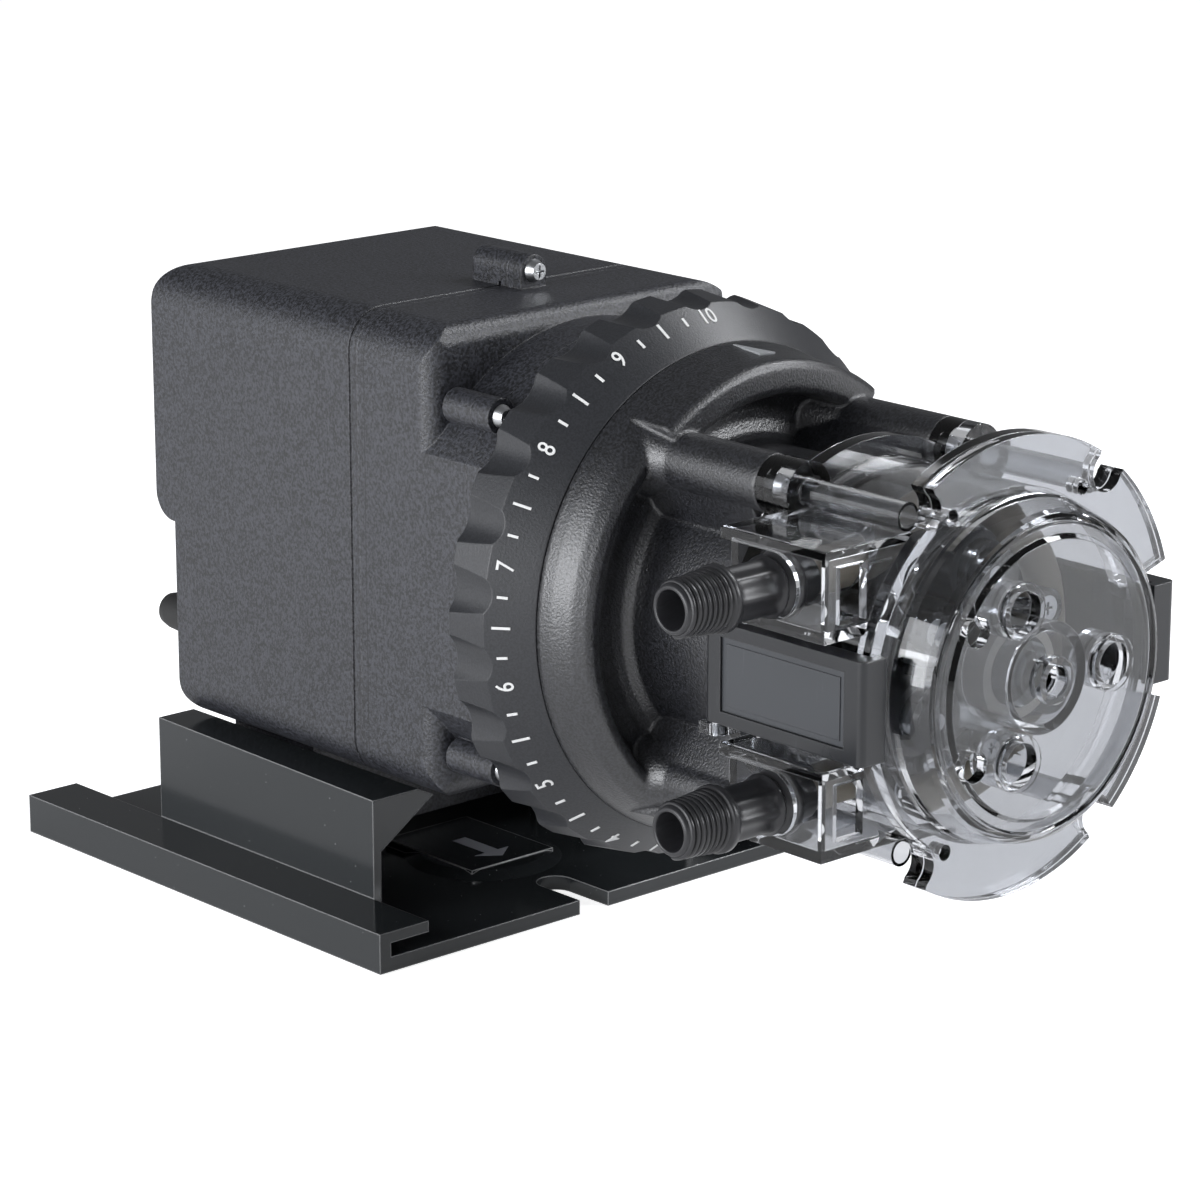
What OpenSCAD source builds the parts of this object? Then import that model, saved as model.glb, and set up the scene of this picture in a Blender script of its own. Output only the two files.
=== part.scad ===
// Peristaltic metering pump on its slide-on mounting bracket.
// Frame: millimetres, +Z up, the pump head faces -Y, +X is to the right seen from the front.
// The origin is the centre of the bracket's underside.
// Places along the pump's own axis are given as s, the distance in front of the dial's front seam.

/* [Bracket] */
// Width of the bracket plate
bracket_w = 136; // [130:1:146]
// Length of the bracket plate
bracket_l = 144; // [140:1:170]
// Thickness of the bracket plate
plate_t = 3.7; // [3:0.1:4.5]
// Height of the side channels
side_h = 10; // [9:0.5:14]
// Thickness of each side wall
side_wall = 3.4; // [2.4:0.1:4.5]
// Width of the lip on top of each side channel
lip_w = 15; // [13:0.5:18]
// Thickness of that lip
lip_t = 2.8; // [2:0.1:3.6]
// Length of the dovetail rails
rail_l = 86; // [76:1:92]
// Distance from the front edge of the plate to the rails
rail_setback = 20.5; // [14:0.5:26]
// Height of the rail tops above the ground
rail_top = 36.5; // [33:0.5:42]
// How much lower the rail tops are at the front
rail_fall = 1.6; // [0:0.1:2.4]
// Thickness of the upright wall of each rail
rail_wall = 2.4; // [1.8:0.1:3.2]
// Inward reach of each rail
rail_reach = 19; // [16:0.5:21]
// Width of the flat on top of each rail
rail_flat = 11; // [8:0.5:13]
// Height of the slope between that flat and the rail's nose
rail_nose_drop = 4; // [3:0.5:5]
// Height of the undercut below the rail's nose
rail_undercut = 11; // [8:0.5:13]
// Width of the open slot in the front edge
front_slot_w = 9.4; // [7:0.2:12]
// Length of that slot
front_slot_l = 19; // [12:0.5:22]
// Diameter of the two rear screw holes
rear_hole_d = 6.5; // [5:0.1:8]
// Distance between the two rear screw holes
rear_hole_pitch = 50; // [40:1:60]
// Radius of the low round pedestal behind the slot
pedestal_r = 21; // [19:0.5:22]
// Width of the rectangular pad on the pedestal
pad_w = 27; // [22:0.5:30]
// Height of the pad above the plate
pad_h = 1.9; // [1.2:0.1:3]

/* [Housing] */
// Height of the pump axis above the ground
axis_z = 91.5; // [91:0.5:100]
// Width of the motor housing and gear case
box_w = 96; // [94:1:100]
// Height of the housing's top above the pump axis
box_up = 60.5; // [60:0.5:66]
// Radius of the housing's long corners
box_r = 10; // [7:0.5:12]
// Radius of the housing's end edges
end_r = 7; // [4:0.5:9]
// Wall of the housing and gear case
wall = 3; // [2.4:0.1:4]
// Length of the motor housing behind its seam, at the top
motor_l = 81.6; // [79:0.5:96]
// How much shorter the lower part of the motor housing is
rear_step = 7.5; // [6:0.5:12]
// Length of the gear case from its seam to its upper front
gear_l = 27; // [26:0.5:32]
// Radius of the round shoulder in front of the gear case
round_r = 57; // [55:0.5:58]
// Depth of the trim groove beside the seam
groove_d = 0.5; // [0.3:0.1:0.8]
// Length of the foot that slides between the rails
foot_l = 32; // [26:1:34]
// Running gap between the foot and the rails
slide_gap = 0.4; // [0.3:0.05:0.6]

/* [Dial] */
// Radius of the dial at its front seam
dial_front_r = 58.3; // [57.5:0.1:59]
// Radius of the dial where its scale band ends
dial_band_r = 66; // [64.5:0.1:66.5]
// Radius of the dial's scallops at their crests
dial_crest_r = 67.3; // [66.8:0.1:69]
// Depth of the scallops
scallop_d = 2.4; // [1.5:0.1:3.5]
// Number of scallops
scallop_n = 26; // [20:1:30]
// Length of the dial's numbered band
band_l = 9; // [7:0.5:11]
// Whole length of the dial
dial_l = 20; // [18:0.5:23]

/* [Pump head] */
// Radius of the outer housing's neck
neck_r = 36; // [34:0.5:37]
// Length of the neck and bosses in front of the dial seam
neck_l = 45; // [43:0.5:48]
// Distance of the four bosses from the pump axis
boss_ring_r = 46.4; // [46:0.1:47.4]
// Radius of each boss
boss_r = 6.8; // [6.2:0.1:7.2]
// Angle of the bosses from the horizontal
boss_angle = 54; // [53:0.5:56]
// Height of the crescent pads in front of the dial seam
crescent_l = 17; // [14:0.5:20]
// Inner bore of the clear tube housing
chamber_r = 37.3; // [36.8:0.1:38]
// Wall of the clear tube housing
clear_wall = 2.6; // [2:0.1:3]
// Length of the clear tube housing
chamber_l = 43.4; // [42:0.2:46]
// Radius of the clear flange's ears
ear_r = 52; // [50:0.5:54]
// Thickness of the tube housing's flange
flange_t = 3.6; // [3:0.1:4.5]
// Thickness of the cover's flange
cover_flange_t = 2.8; // [2.2:0.1:3.5]
// Height of the cover's dome in front of its flange
dome_l = 10.5; // [9.5:0.5:13]
// Radius of the cover's dome
dome_r = 39; // [38:0.1:40]
// Radius of the raised disc on the cover
disc_r = 32; // [30:0.5:33.5]
// Distance of the cover's three large holes from the axis
cover_hole_ring = 19.6; // [18:0.1:21]

/* [Tube and fittings] */
// Outer radius of the pump tube
tube_r = 4.2; // [3.6:0.1:4.6]
// Inner radius of the pump tube
tube_bore_r = 2.4; // [1.8:0.1:2.8]
// Height of each fitting above or below the pump axis
port_z = 24.2; // [23.6:0.1:24.8]
// Reach of the fittings from the pump axis
port_reach = 82.5; // [78:0.5:88]
// Outer radius of the fitting's thread
thread_r = 6.86; // [6.4:0.02:7.2]
// Radius of the fitting's bore
port_bore_r = 4.6; // [3.8:0.1:5]
// Length of the fitting's thread
thread_l = 17.5; // [15:0.5:20]
// Distance from the axis to the outer face of the fitting holders
holder_x = 53; // [52:0.5:55]
// Height of each fitting holder
holder_h = 20; // [19:0.5:20.5]
// Length of each fitting holder along the pump
holder_l = 31.5; // [30:0.5:32]
// Wall of the fitting holders
holder_wall = 2.2; // [1.8:0.1:2.6]

/* [Latches] */
// Height of each latch
latch_h = 23; // [18:0.2:23.4]
// Distance from the axis to a latch's outer face
latch_x = 50; // [49.5:0.5:51.5]
// Thickness of each latch
latch_t = 5; // [4.6:0.1:5.2]
// Depth of the recessed panel in each latch
latch_panel_d = 0.8; // [0.4:0.1:1.2]

/* [Rollers and drive] */
// Distance of the roller pins from the axis
roller_ring_r = 20; // [19.5:0.1:20]
// Radius of each roller
roller_r = 8.3; // [7.8:0.05:8.3]
// Length of each roller
roller_l = 22; // [16:0.5:23]
// Radius of each roller pin
pin_r = 2; // [1.6:0.1:2.4]
// Radius of the main shaft
shaft_r = 5; // [4:0.1:5.5]
// Tooth module of the motor pinion and idler wheel
fast_module = 0.8; // [0.76:0.01:0.82]
// Tooth module of the idler pinion and main gear
slow_module = 1; // [0.96:0.01:1.04]
// Radius of the motor rotor
rotor_r = 16; // [14:0.5:17]
// Air gap between the rotor and its stator
air_gap = 0.4; // [0.3:0.05:0.6]
// Thickness of the stator stack
stator_t = 22; // [18:0.5:24]

/* [Hidden] */
$fn = 64;

fit = 0.02;
run_gap = 0.3;

// Heights and places of the housing
box_bottom = rail_top + run_gap;
box_low = box_bottom - axis_z;
seam_s = -75;
dial_seam_y = -117;
box_front_s = seam_s + gear_l;
case_split_s = -35.6;
lug_front_s = -29.5;
case_edge_r = 5;
shoulder_edge_r = 8;
shoulder_step = 0.05;
shoulder_x = box_w / 2 - shoulder_step;
rear_top_s = seam_s - motor_l;
rear_low_s = rear_top_s + rear_step;
step_up = -4;
rebate = wall - 1.4;
top_lug_x = 3;
top_lug_r = 4;
top_lug_up = 4.2;
top_lug_l = 18;
top_lug_front = 5;
lug_ring_r = round_r + 3;
lug_r = 4.2;
lug_l = 10;
small_screw_r = 1.5;
gland_at = [-35.5, -33];
gland_l = 20;
gland_r = 7.5;

// Places of the rails and the foot between them
rail_x = bracket_w / 2 - lip_w;
rail_y = -bracket_l / 2 + rail_setback;
nose_x = rail_x - rail_reach;
nose_z = rail_top - rail_nose_drop;
wall_x = rail_x - rail_wall;
channel_z = nose_z - rail_undercut;
stop_t = 3;
foot_y = -4;
foot_bottom = plate_t + 4.3;
foot_screw_x = 20;
foot_screw_inset = 7;
foot_head_z = 22;
foot_screw_l = 15;
pedestal_y = -30;
pad_front_y = -41.5;
pad_l = 34;
rear_hole_inset = 16;

// Places of the dial and the case behind it
index_front_s = -dial_l - 0.6;
hub_r = 30;
hub_screw_ring = 24;
dial_shell_r = 53;
dial_lip_r = 50;
dial_web = 3;
cam_l = 6;

// Places of the outer housing
base_s = run_gap;
base_l = 6;
ring_in_r = 49;
bearing_r = 11;
bearing_l = 8;
seal_l = 3.6;
bearing_tube_r = 14.5;
neck_wall = 3;
boss_angles = [boss_angle, 180 - boss_angle, 180 + boss_angle, 360 - boss_angle];
lug_angles = [45, 135, 225, 315];

// Places of the clear housing and cover
clear_out_r = chamber_r + clear_wall;
back_plate_t = 4;
back_plate_r = 44.5;
back_hole_r = 13;
sleeve_l = 10;
column_r = 3.2;
column_bore_r = 2.5;
tube_screw_r = 1.5;
flange_s = neck_l + chamber_l - flange_t;
cover_s = neck_l + chamber_l + run_gap;
dome_s = cover_s + cover_flange_t + dome_l;
cover_wall = 2.4;
notch_r = 4.6;
tab_x = latch_x - latch_t - 0.4;
tab_half = 9;

// Places of the tube and the fittings
tube_s = 70;
tube_ring_r = chamber_r - run_gap - tube_r;
bend_r = 16;
bend_a = acos((port_z + bend_r) / (tube_ring_r + bend_r));
bend_x = -(tube_ring_r + bend_r) * sin(bend_a);
barb_l = 12;
collar_l = 4.6;
collar_r = 7;
holder_s = tube_s - holder_l / 2;
ferrule_l = 6;

// Places of the roller assembly
roller_angles = [90, 210, 330];
roller_plate_t = 3.5;
rear_plate_s = tube_s - roller_l / 2 - run_gap - roller_plate_t;
front_plate_s = tube_s + roller_l / 2 + run_gap;
lobe_r = 6.5;
centre_r = 15.5;
spacer_ring = 19;
spacer_lobe_r = 4.6;
spacer_r = 3.6;
roller_hub_r = 8;
roller_hub_l = 7;
bush_r = 10.5;

// Places of the latches
lug_plate = 2.6;
latch_pin_s = neck_l + 3.2;
latch_pin_r = 1.5;
latch_pin_x = latch_x - latch_t / 2;
latch_back_s = latch_pin_s - latch_t / 2;
latch_hook_s = cover_s + cover_flange_t + run_gap;
latch_tip_s = latch_hook_s + 2.4;
latch_tip_r = 1.6;
hook_x = tab_x - 1.7;

// Places of the gear train and motor
pinion_t = 12;
wheel_t = 48;
fast_d = fast_module * (pinion_t + wheel_t) / 2;
slow_d = slow_module * (pinion_t + wheel_t) / 2;
idler_a = 125;
motor_a = -20;
idler_at = [slow_d * cos(idler_a), slow_d * sin(idler_a)];
motor_at = idler_at + [fast_d * cos(motor_a), fast_d * sin(motor_a)];
gear_plate_t = 3;
plate_s = seam_s - gear_plate_t;
wheel_l = 6;
wheel_s = seam_s + 2;
slow_l = 6;
slow_s = wheel_s + wheel_l + 4;
idler_post_r = 2.5;
rotor_shaft_r = 3;
stator_s = seam_s - 24 - stator_t;
stator_w = 64;
stator_up = 22;
stator_down = 44;
leg = 10;
side_leg = 12;
window_top = -20;
coil_grow = 9.5;
bolt_x = stator_w / 2 - side_leg / 2;
motor_bolt_r = 2;
bridge_t = 3;
front_bridge_s = seam_s - 15;
rear_bridge_s = stator_s - 6;
bridge_r = 7;
fan_r = 24;
fan_l = 9;
fan_s = rear_bridge_s - 4 - fan_l;
rear_bearing_l = 6;

// Draws its children as seen from the front, with their z pointing forward from s
module head(s) {
  translate([0, dial_seam_y - s, axis_z]) rotate([90, 0, 0]) children();
}

// Draws a flat outline of s and height, from x towards the right
module side(x, width) {
  translate([x, dial_seam_y, axis_z]) rotate([90, 0, 90]) mirror([1, 0, 0])
    linear_extrude(width) children();
}

// Draws a flat outline of x and s, from a height upwards
module plan(up, height) {
  translate([0, dial_seam_y, axis_z + up]) mirror([0, 1, 0]) linear_extrude(height) children();
}

// Draws a flat outline of x and z along the bracket
module along_y(y, length) {
  translate([0, y + length, 0]) rotate([90, 0, 0]) linear_extrude(length) children();
}

module around(radius, angles) {
  for (a = angles) translate([radius * cos(a), radius * sin(a), 0]) children();
}

module rounded_rect(w, low, high, r) {
  translate([-w / 2 + r, low]) square([w - 2 * r, high - low]);
  translate([-w / 2, low + r]) square([w, high - low - 2 * r]);
  for (x = [-w / 2 + r, w / 2 - r]) for (y = [low + r, high - r]) translate([x, y]) circle(r);
}

// Cross section of the box that holds the motor and gears
module box_section(inset) {
  rounded_rect(box_w - 2 * inset, box_low + inset, box_up - inset, box_r - inset);
}

// Cross section of the round shoulder, flat at the sides and underneath
module round_section(inset) {
  intersection() {
    circle(round_r - inset, $fn = 120);
    translate([-shoulder_x + inset, box_low + shoulder_step + inset])
      square([2 * shoulder_x - 2 * inset, 2 * round_r]);
  }
}

// Outline from one s to another, between two sides, with both front corners rounded
module rounded_front(side_a, side_b, from, to, r) {
  translate([from, side_a]) square([to - from - r, side_b - side_a]);
  translate([from, side_a + r]) square([to - from, side_b - side_a - 2 * r]);
  for (y = [side_a + r, side_b - r]) translate([to - r, y]) circle(r);
}

// Cross-recessed pan head screw: the head stands on z = 0 and the shank runs down
module pan_screw(shank_r, shank_l, head_r, head_h) {
  difference() {
    union() {
      translate([0, 0, -shank_l]) cylinder(r = shank_r, h = shank_l + 0.1);
      cylinder(r1 = head_r, r2 = head_r * 0.7, h = head_h);
    }
    for (a = [0, 90]) rotate(a) translate([-head_r * 0.5, -head_r * 0.1, head_h * 0.5])
      cube([head_r, head_r * 0.2, head_h]);
  }
}

// Flat screw whose countersunk head ends at z = 0 and whose shank runs down
module flat_screw(shank_r, shank_l, head_r, head_h) {
  difference() {
    union() {
      translate([0, 0, -shank_l]) cylinder(r = shank_r, h = shank_l - head_h + 0.1);
      translate([0, 0, -head_h]) cylinder(r1 = shank_r, r2 = head_r, h = head_h);
    }
    for (a = [0, 90]) rotate(a) translate([-head_r * 0.5, -head_r * 0.1, -head_h * 0.6])
      cube([head_r, head_r * 0.2, head_h]);
  }
}

function involute_point(base_r, turn) =
  base_r * [cos(turn) + turn * PI / 180 * sin(turn), sin(turn) - turn * PI / 180 * cos(turn)];
function involute_turn(base_r, r) = sqrt(max(0, (r / base_r) * (r / base_r) - 1)) * 180 / PI;
function flip(p) = [p[0], -p[1]];
function turned(p, a) = [p[0] * cos(a) - p[1] * sin(a), p[0] * sin(a) + p[1] * cos(a)];
function flank_angle(base_r, r) = involute_turn(base_r, r) - acos(base_r / r);

// Outline of a stub-toothed spur gear with one tooth centred on the x axis
function gear_outline(teeth, size) =
  let (pitch_r = size * teeth / 2,
    base_r = pitch_r * cos(20),
    tip_r = pitch_r + 0.75 * size,
    root_r = pitch_r - 1.1 * size,
    start_r = max(base_r, root_r),
    half = 90 / teeth - 6 / teeth + flank_angle(base_r, pitch_r),
    radii = [for (k = [0:3]) start_r + (tip_r - start_r) * k / 3],
    flank = [for (r = radii) turned(flip(involute_point(base_r, involute_turn(base_r, r))), half)])
  [for (i = [0:teeth - 1]) let (a = i * 360 / teeth) each concat(
    [turned([root_r, 0], a - half)],
    [for (k = [0:3]) turned(flip(flank[k]), a)],
    [for (k = [3:-1:0]) turned(flank[k], a)],
    [turned([root_r, 0], a + half)])];

// Spur gear that turns a tooth, or a gap, to the angle aim
module gear(teeth, size, thick, bore_r, aim, gap) {
  difference() {
    rotate(aim + (gap ? 180 / teeth : 0)) linear_extrude(thick) polygon(gear_outline(teeth, size));
    translate([0, 0, -1]) cylinder(r = bore_r, h = thick + 2);
  }
}

// Bracket

module side_section() {
  half = bracket_w / 2;
  polygon([[half, 0], [half, side_h], [half - lip_w, side_h], [half - lip_w, side_h - lip_t],
    [half - side_wall, side_h - lip_t], [half - side_wall, plate_t], [-1, plate_t], [-1, 0]]);
}

module rail_section() {
  polygon([[rail_x, plate_t - 1], [wall_x, plate_t - 1], [wall_x, channel_z], [nose_x, nose_z],
    [rail_x - rail_flat, rail_top], [rail_x, rail_top]]);
}

// A web that closes the channel under the rail just in front of the foot
module stop_section() {
  near = nose_x + 4;
  near_z = nose_z - 4 * rail_undercut / (wall_x - nose_x) + 0.3;
  polygon([[wall_x + 0.5, plate_t - 1], [near, plate_t - 1], [near, near_z],
    [wall_x + 0.5, channel_z]]);
}

// What slopes the rail tops down towards the front
module rail_top_cut() {
  top = rail_top - axis_z;
  front_s = dial_seam_y - rail_y;
  side(-bracket_w / 2 - 1, bracket_w + 2) polygon([[front_s - rail_l + 2, top],
    [front_s, top - rail_fall], [front_s + 1, top - rail_fall], [front_s + 1, top + 1],
    [front_s - rail_l + 2, top + 1]]);
}

module mounting_bracket() {
  front = -bracket_l / 2;
  slot_r = front_slot_w / 2;
  color("#17191b") difference() {
    union() {
      for (m = [0, 1]) mirror([m, 0, 0]) {
        along_y(front, bracket_l) side_section();
        along_y(rail_y, rail_l) rail_section();
        along_y(foot_y - slide_gap - stop_t, stop_t) stop_section();
      }
      translate([0, pedestal_y, plate_t - 0.5])
        cylinder(r1 = pedestal_r, r2 = pedestal_r - 5, h = pad_h + 0.2);
      translate([-pad_w / 2, pad_front_y, plate_t - 0.5]) cube([pad_w, pad_l, pad_h + 0.5]);
    }
    translate([-slot_r, front - 1, -1]) cube([front_slot_w, front_slot_l - slot_r + 1, plate_t + 2]);
    translate([0, front + front_slot_l - slot_r, -1]) cylinder(r = slot_r, h = plate_t + 2);
    for (x = [-1, 1]) translate([x * rear_hole_pitch / 2, -front - rear_hole_inset, -1])
      cylinder(d = rear_hole_d, h = plate_t + 2);
    rail_top_cut();
  }
}

// Motor housing and what it holds

// Side view of the motor housing, with its rear step and rounded ends
module rear_profile(inset) {
  r = end_r - inset;
  high = box_up - inset;
  low = box_low + inset;
  mid = step_up + inset;
  back = rear_top_s + inset;
  low_back = rear_low_s + inset;
  length = seam_s + 2 - back;
  translate([back + r, mid]) square([length - r, high - mid]);
  translate([back, mid + r]) square([length, high - mid - 2 * r]);
  for (y = [mid + r, high - r]) translate([back + r, y]) circle(r);
  translate([low_back + r, low]) square([seam_s + 2 - low_back - r, mid - low + r]);
  translate([low_back, low + r]) square([seam_s + 2 - low_back, mid - low]);
  translate([low_back + r, low + r]) circle(r);
}

module rear_solid(inset) {
  intersection() {
    head(rear_top_s - 1) linear_extrude(motor_l + 1 + (inset > 0 ? 1 : 0)) box_section(inset);
    side(-box_w, 2 * box_w) rear_profile(inset);
  }
}

module top_lug(s, length) {
  head(s) translate([top_lug_x, box_up, 0]) {
    translate([0, top_lug_up, 0]) cylinder(r = top_lug_r, h = length);
    translate([-top_lug_r, -wall / 2, 0]) cube([2 * top_lug_r, top_lug_up + wall / 2, length]);
  }
}

module case_screw_place() {
  head(seam_s + top_lug_front) translate([top_lug_x, box_up + top_lug_up, 0]) children();
}

module foot_screw_places() {
  for (x = [-1, 1]) for (y = [foot_y + foot_screw_inset, foot_y + foot_l - foot_screw_inset])
    translate([x * foot_screw_x, y, foot_head_z]) mirror([0, 0, 1]) children();
}

module plate_screw_places(s) {
  head(s) for (x = [-1, 1]) for (y = [box_low + wall + 5, box_up - wall - 5])
    translate([x * (box_w / 2 - wall - 5), y, 0]) children();
}

module rear_housing() {
  color("#2b2d30") difference() {
    union() {
      difference() {
        rear_solid(0);
        rear_solid(wall);
      }
      top_lug(seam_s - top_lug_l + top_lug_front, top_lug_l - top_lug_front);
      along_y(foot_y, foot_l) translate([-nose_x + slide_gap, nose_z - slide_gap])
        square([2 * (nose_x - slide_gap), box_bottom - nose_z + slide_gap + wall / 2]);
      plate_screw_places(plate_s - 14) intersection() {
        cylinder(r = 6, h = 14);
        translate([-6, -6, 0]) cube([12, 12, 14]);
      }
    }
    head(seam_s - 3.4) linear_extrude(0.9) difference() {
      box_section(-1);
      box_section(groove_d);
    }
    head(plate_s) linear_extrude(gear_plate_t + 1) box_section(rebate);
    case_screw_place() translate([0, 0, -17]) cylinder(r = small_screw_r + fit, h = 18);
    plate_screw_places(plate_s) translate([0, 0, -10]) cylinder(r = small_screw_r + fit, h = 11);
    head(rear_low_s - 1) translate(gland_at) cylinder(r = gland_r + fit, h = wall + 2);
    foot_screw_places() translate([0, 0, -foot_screw_l - 2]) cylinder(r = small_screw_r + fit, h = 8);
  }
}

module slide_foot() {
  top_x = nose_x - slide_gap - 0.2;
  low_x = wall_x - slide_gap;
  color("#2b2d30") difference() {
    along_y(foot_y, foot_l) polygon([[top_x, nose_z - slide_gap], [low_x, channel_z - slide_gap],
      [low_x, foot_bottom], [-low_x, foot_bottom], [-low_x, channel_z - slide_gap],
      [-top_x, nose_z - slide_gap]]);
    foot_screw_places() {
      translate([0, 0, -16]) cylinder(r = small_screw_r + fit, h = 17);
      cylinder(r = 3.4, h = foot_head_z);
    }
  }
}

module foot_screws() {
  color("#c8cacc") foot_screw_places() pan_screw(small_screw_r, foot_screw_l, 3, 2);
}

module case_screw() {
  color("#c8cacc") case_screw_place() pan_screw(small_screw_r, 16, 2.9, 2.2);
}

module cord_gland() {
  color("#141516") head(rear_low_s) translate(gland_at) mirror([0, 0, 1]) rotate_extrude()
    polygon([[2.6, -wall - 2], [9, -wall - 2], [9, -wall], [gland_r, -wall], [gland_r, 0.1],
      [9, 0.1], [9, 3], [6.6, 6], [5.3, 10], [4.8, gland_l - 3], [4.2, gland_l - 0.6],
      [3.4, gland_l], [2.6, gland_l]]);
}

module gear_plate() {
  color("#b9bcc0") difference() {
    head(plate_s) linear_extrude(gear_plate_t) box_section(rebate + 0.1);
    head(plate_s - 1) {
      cylinder(r = shaft_r + 2 + fit, h = gear_plate_t + 2);
      translate(motor_at) cylinder(r = rotor_shaft_r + 3, h = gear_plate_t + 2);
      translate(idler_at) cylinder(r = idler_post_r + fit, h = gear_plate_t + 2);
      for (x = [-1, 1]) translate([motor_at[0] + x * bolt_x, motor_at[1], 0])
        cylinder(r = motor_bolt_r + fit, h = gear_plate_t + 2);
    }
    plate_screw_places(plate_s - 1) cylinder(r = small_screw_r + fit, h = gear_plate_t + 2);
  }
}

module plate_screws() {
  color("#c8cacc") plate_screw_places(seam_s) pan_screw(small_screw_r, 12, 3, 2);
}

// Shaded-pole stator: a laminated frame with the rotor bore above and the coil's leg below
module motor_stator() {
  color("#8d9094") head(stator_s) translate(motor_at) difference() {
    translate([-stator_w / 2, -stator_down, 0]) cube([stator_w, stator_up + stator_down, stator_t]);
    translate([-stator_w / 2 + side_leg, -stator_down + leg, -1])
      cube([stator_w - 2 * side_leg, stator_down - leg + window_top, stator_t + 2]);
    translate([0, 0, -1]) cylinder(r = rotor_r + air_gap, h = stator_t + 2);
    for (x = [-1, 1]) translate([x * bolt_x, 0, -1]) cylinder(r = motor_bolt_r + fit, h = stator_t + 2);
  }
}

module motor_coil() {
  half = stator_w / 2 - side_leg - 0.3;
  high = window_top - 0.5;
  color("#a8642c") head(stator_s) translate(motor_at) difference() {
    translate([-half, -stator_down - coil_grow, -coil_grow])
      cube([2 * half, stator_down + coil_grow + high, stator_t + 2 * coil_grow]);
    translate([-half - 1, -stator_down - fit, -fit]) cube([2 * half + 2, leg + 2 * fit, stator_t + 2 * fit]);
  }
}

module bridge(s, legs_low, legs_high) {
  head(s) translate(motor_at) difference() {
    union() {
      translate([-bolt_x, -bridge_r, 0]) cube([2 * bolt_x, 2 * bridge_r, bridge_t]);
      for (x = [-1, 1]) translate([x * bolt_x, 0, -legs_low])
        cylinder(r = bridge_r - 1.5, h = legs_low + bridge_t + legs_high);
      cylinder(r = bridge_r, h = bridge_t + 2);
    }
    translate([0, 0, -1]) cylinder(r = rotor_shaft_r + 0.03, h = bridge_t + 5);
    for (x = [-1, 1]) translate([x * bolt_x, 0, -legs_low - 1])
      cylinder(r = motor_bolt_r + fit, h = legs_low + bridge_t + legs_high + 2);
  }
}

module motor_bridges() {
  color("#a4a7ab") {
    bridge(front_bridge_s, front_bridge_s - stator_s - stator_t, plate_s - front_bridge_s - bridge_t);
    bridge(rear_bridge_s, 0, stator_s - rear_bridge_s - bridge_t);
  }
}

module motor_bolts() {
  length = seam_s - rear_bridge_s;
  color("#c8cacc") head(rear_bridge_s) for (x = [-1, 1])
    translate([motor_at[0] + x * bolt_x, motor_at[1], 0]) mirror([0, 0, 1])
      pan_screw(motor_bolt_r, length, 3.6, 2.6);
}

module motor_rotor() {
  color("#9a9da1") head(stator_s - 1) translate(motor_at) difference() {
    cylinder(r = rotor_r, h = stator_t + 2);
    translate([0, 0, -1]) cylinder(r = rotor_shaft_r + fit, h = stator_t + 4);
  }
}

module rotor_shaft() {
  color("#d0d2d4") {
    head(fan_s - 1) translate(motor_at)
      cylinder(r = rotor_shaft_r, h = wheel_s + wheel_l + 1 - fan_s);
    head(wheel_s - 1) translate(motor_at)
      gear(pinion_t, fast_module, wheel_l + 2, rotor_shaft_r - 0.5, 180 + motor_a, false);
  }
}

module motor_fan() {
  hub = 6;
  color("#3a3d40") head(fan_s) translate(motor_at) difference() {
    union() {
      cylinder(r = hub, h = fan_l);
      cylinder(r = fan_r * 0.7, h = 1.2);
      for (k = [0:6]) rotate(k * 360 / 7 + 8) translate([hub - 1, -0.6, 0.4])
        cube([fan_r - hub, 1.2, fan_l - 0.8]);
    }
    translate([0, 0, -1]) cylinder(r = rotor_shaft_r + fit, h = fan_l + 2);
  }
}

module idler_post() {
  color("#d0d2d4") head(plate_s) translate(idler_at) {
    cylinder(r = idler_post_r, h = slow_s + slow_l + 2 - plate_s);
  }
}

module idler_gear() {
  color("#d9d4c3") {
    head(wheel_s) translate(idler_at)
      gear(wheel_t, fast_module, wheel_l, idler_post_r + 0.03, motor_a, true);
    head(wheel_s + wheel_l - 0.1) translate(idler_at)
      gear(pinion_t, slow_module, slow_s + slow_l + 0.6 - wheel_s - wheel_l, idler_post_r + 0.03,
        180 + idler_a, false);
  }
}

module main_gear() {
  color("#d9d4c3") head(slow_s) gear(wheel_t, slow_module, slow_l, shaft_r + fit, idler_a, true);
}

module main_shaft() {
  color("#d0d2d4") head(plate_s - rear_bearing_l + gear_plate_t)
    cylinder(r = shaft_r, h = front_plate_s + roller_plate_t + rear_bearing_l - gear_plate_t - plate_s);
}

module shaft_bearings() {
  color("#c2c4c6") {
    head(seam_s - rear_bearing_l) difference() {
      cylinder(r = shaft_r + 2, h = rear_bearing_l - 0.1);
      translate([0, 0, -1]) cylinder(r = shaft_r + 0.03, h = rear_bearing_l + 2);
    }
    head(neck_l - seal_l - run_gap - bearing_l) difference() {
      cylinder(r = bearing_r, h = bearing_l);
      translate([0, 0, -1]) cylinder(r = shaft_r + 0.03, h = bearing_l + 2);
    }
  }
}

// Gear case, with its box behind and its round shoulder in front

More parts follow.
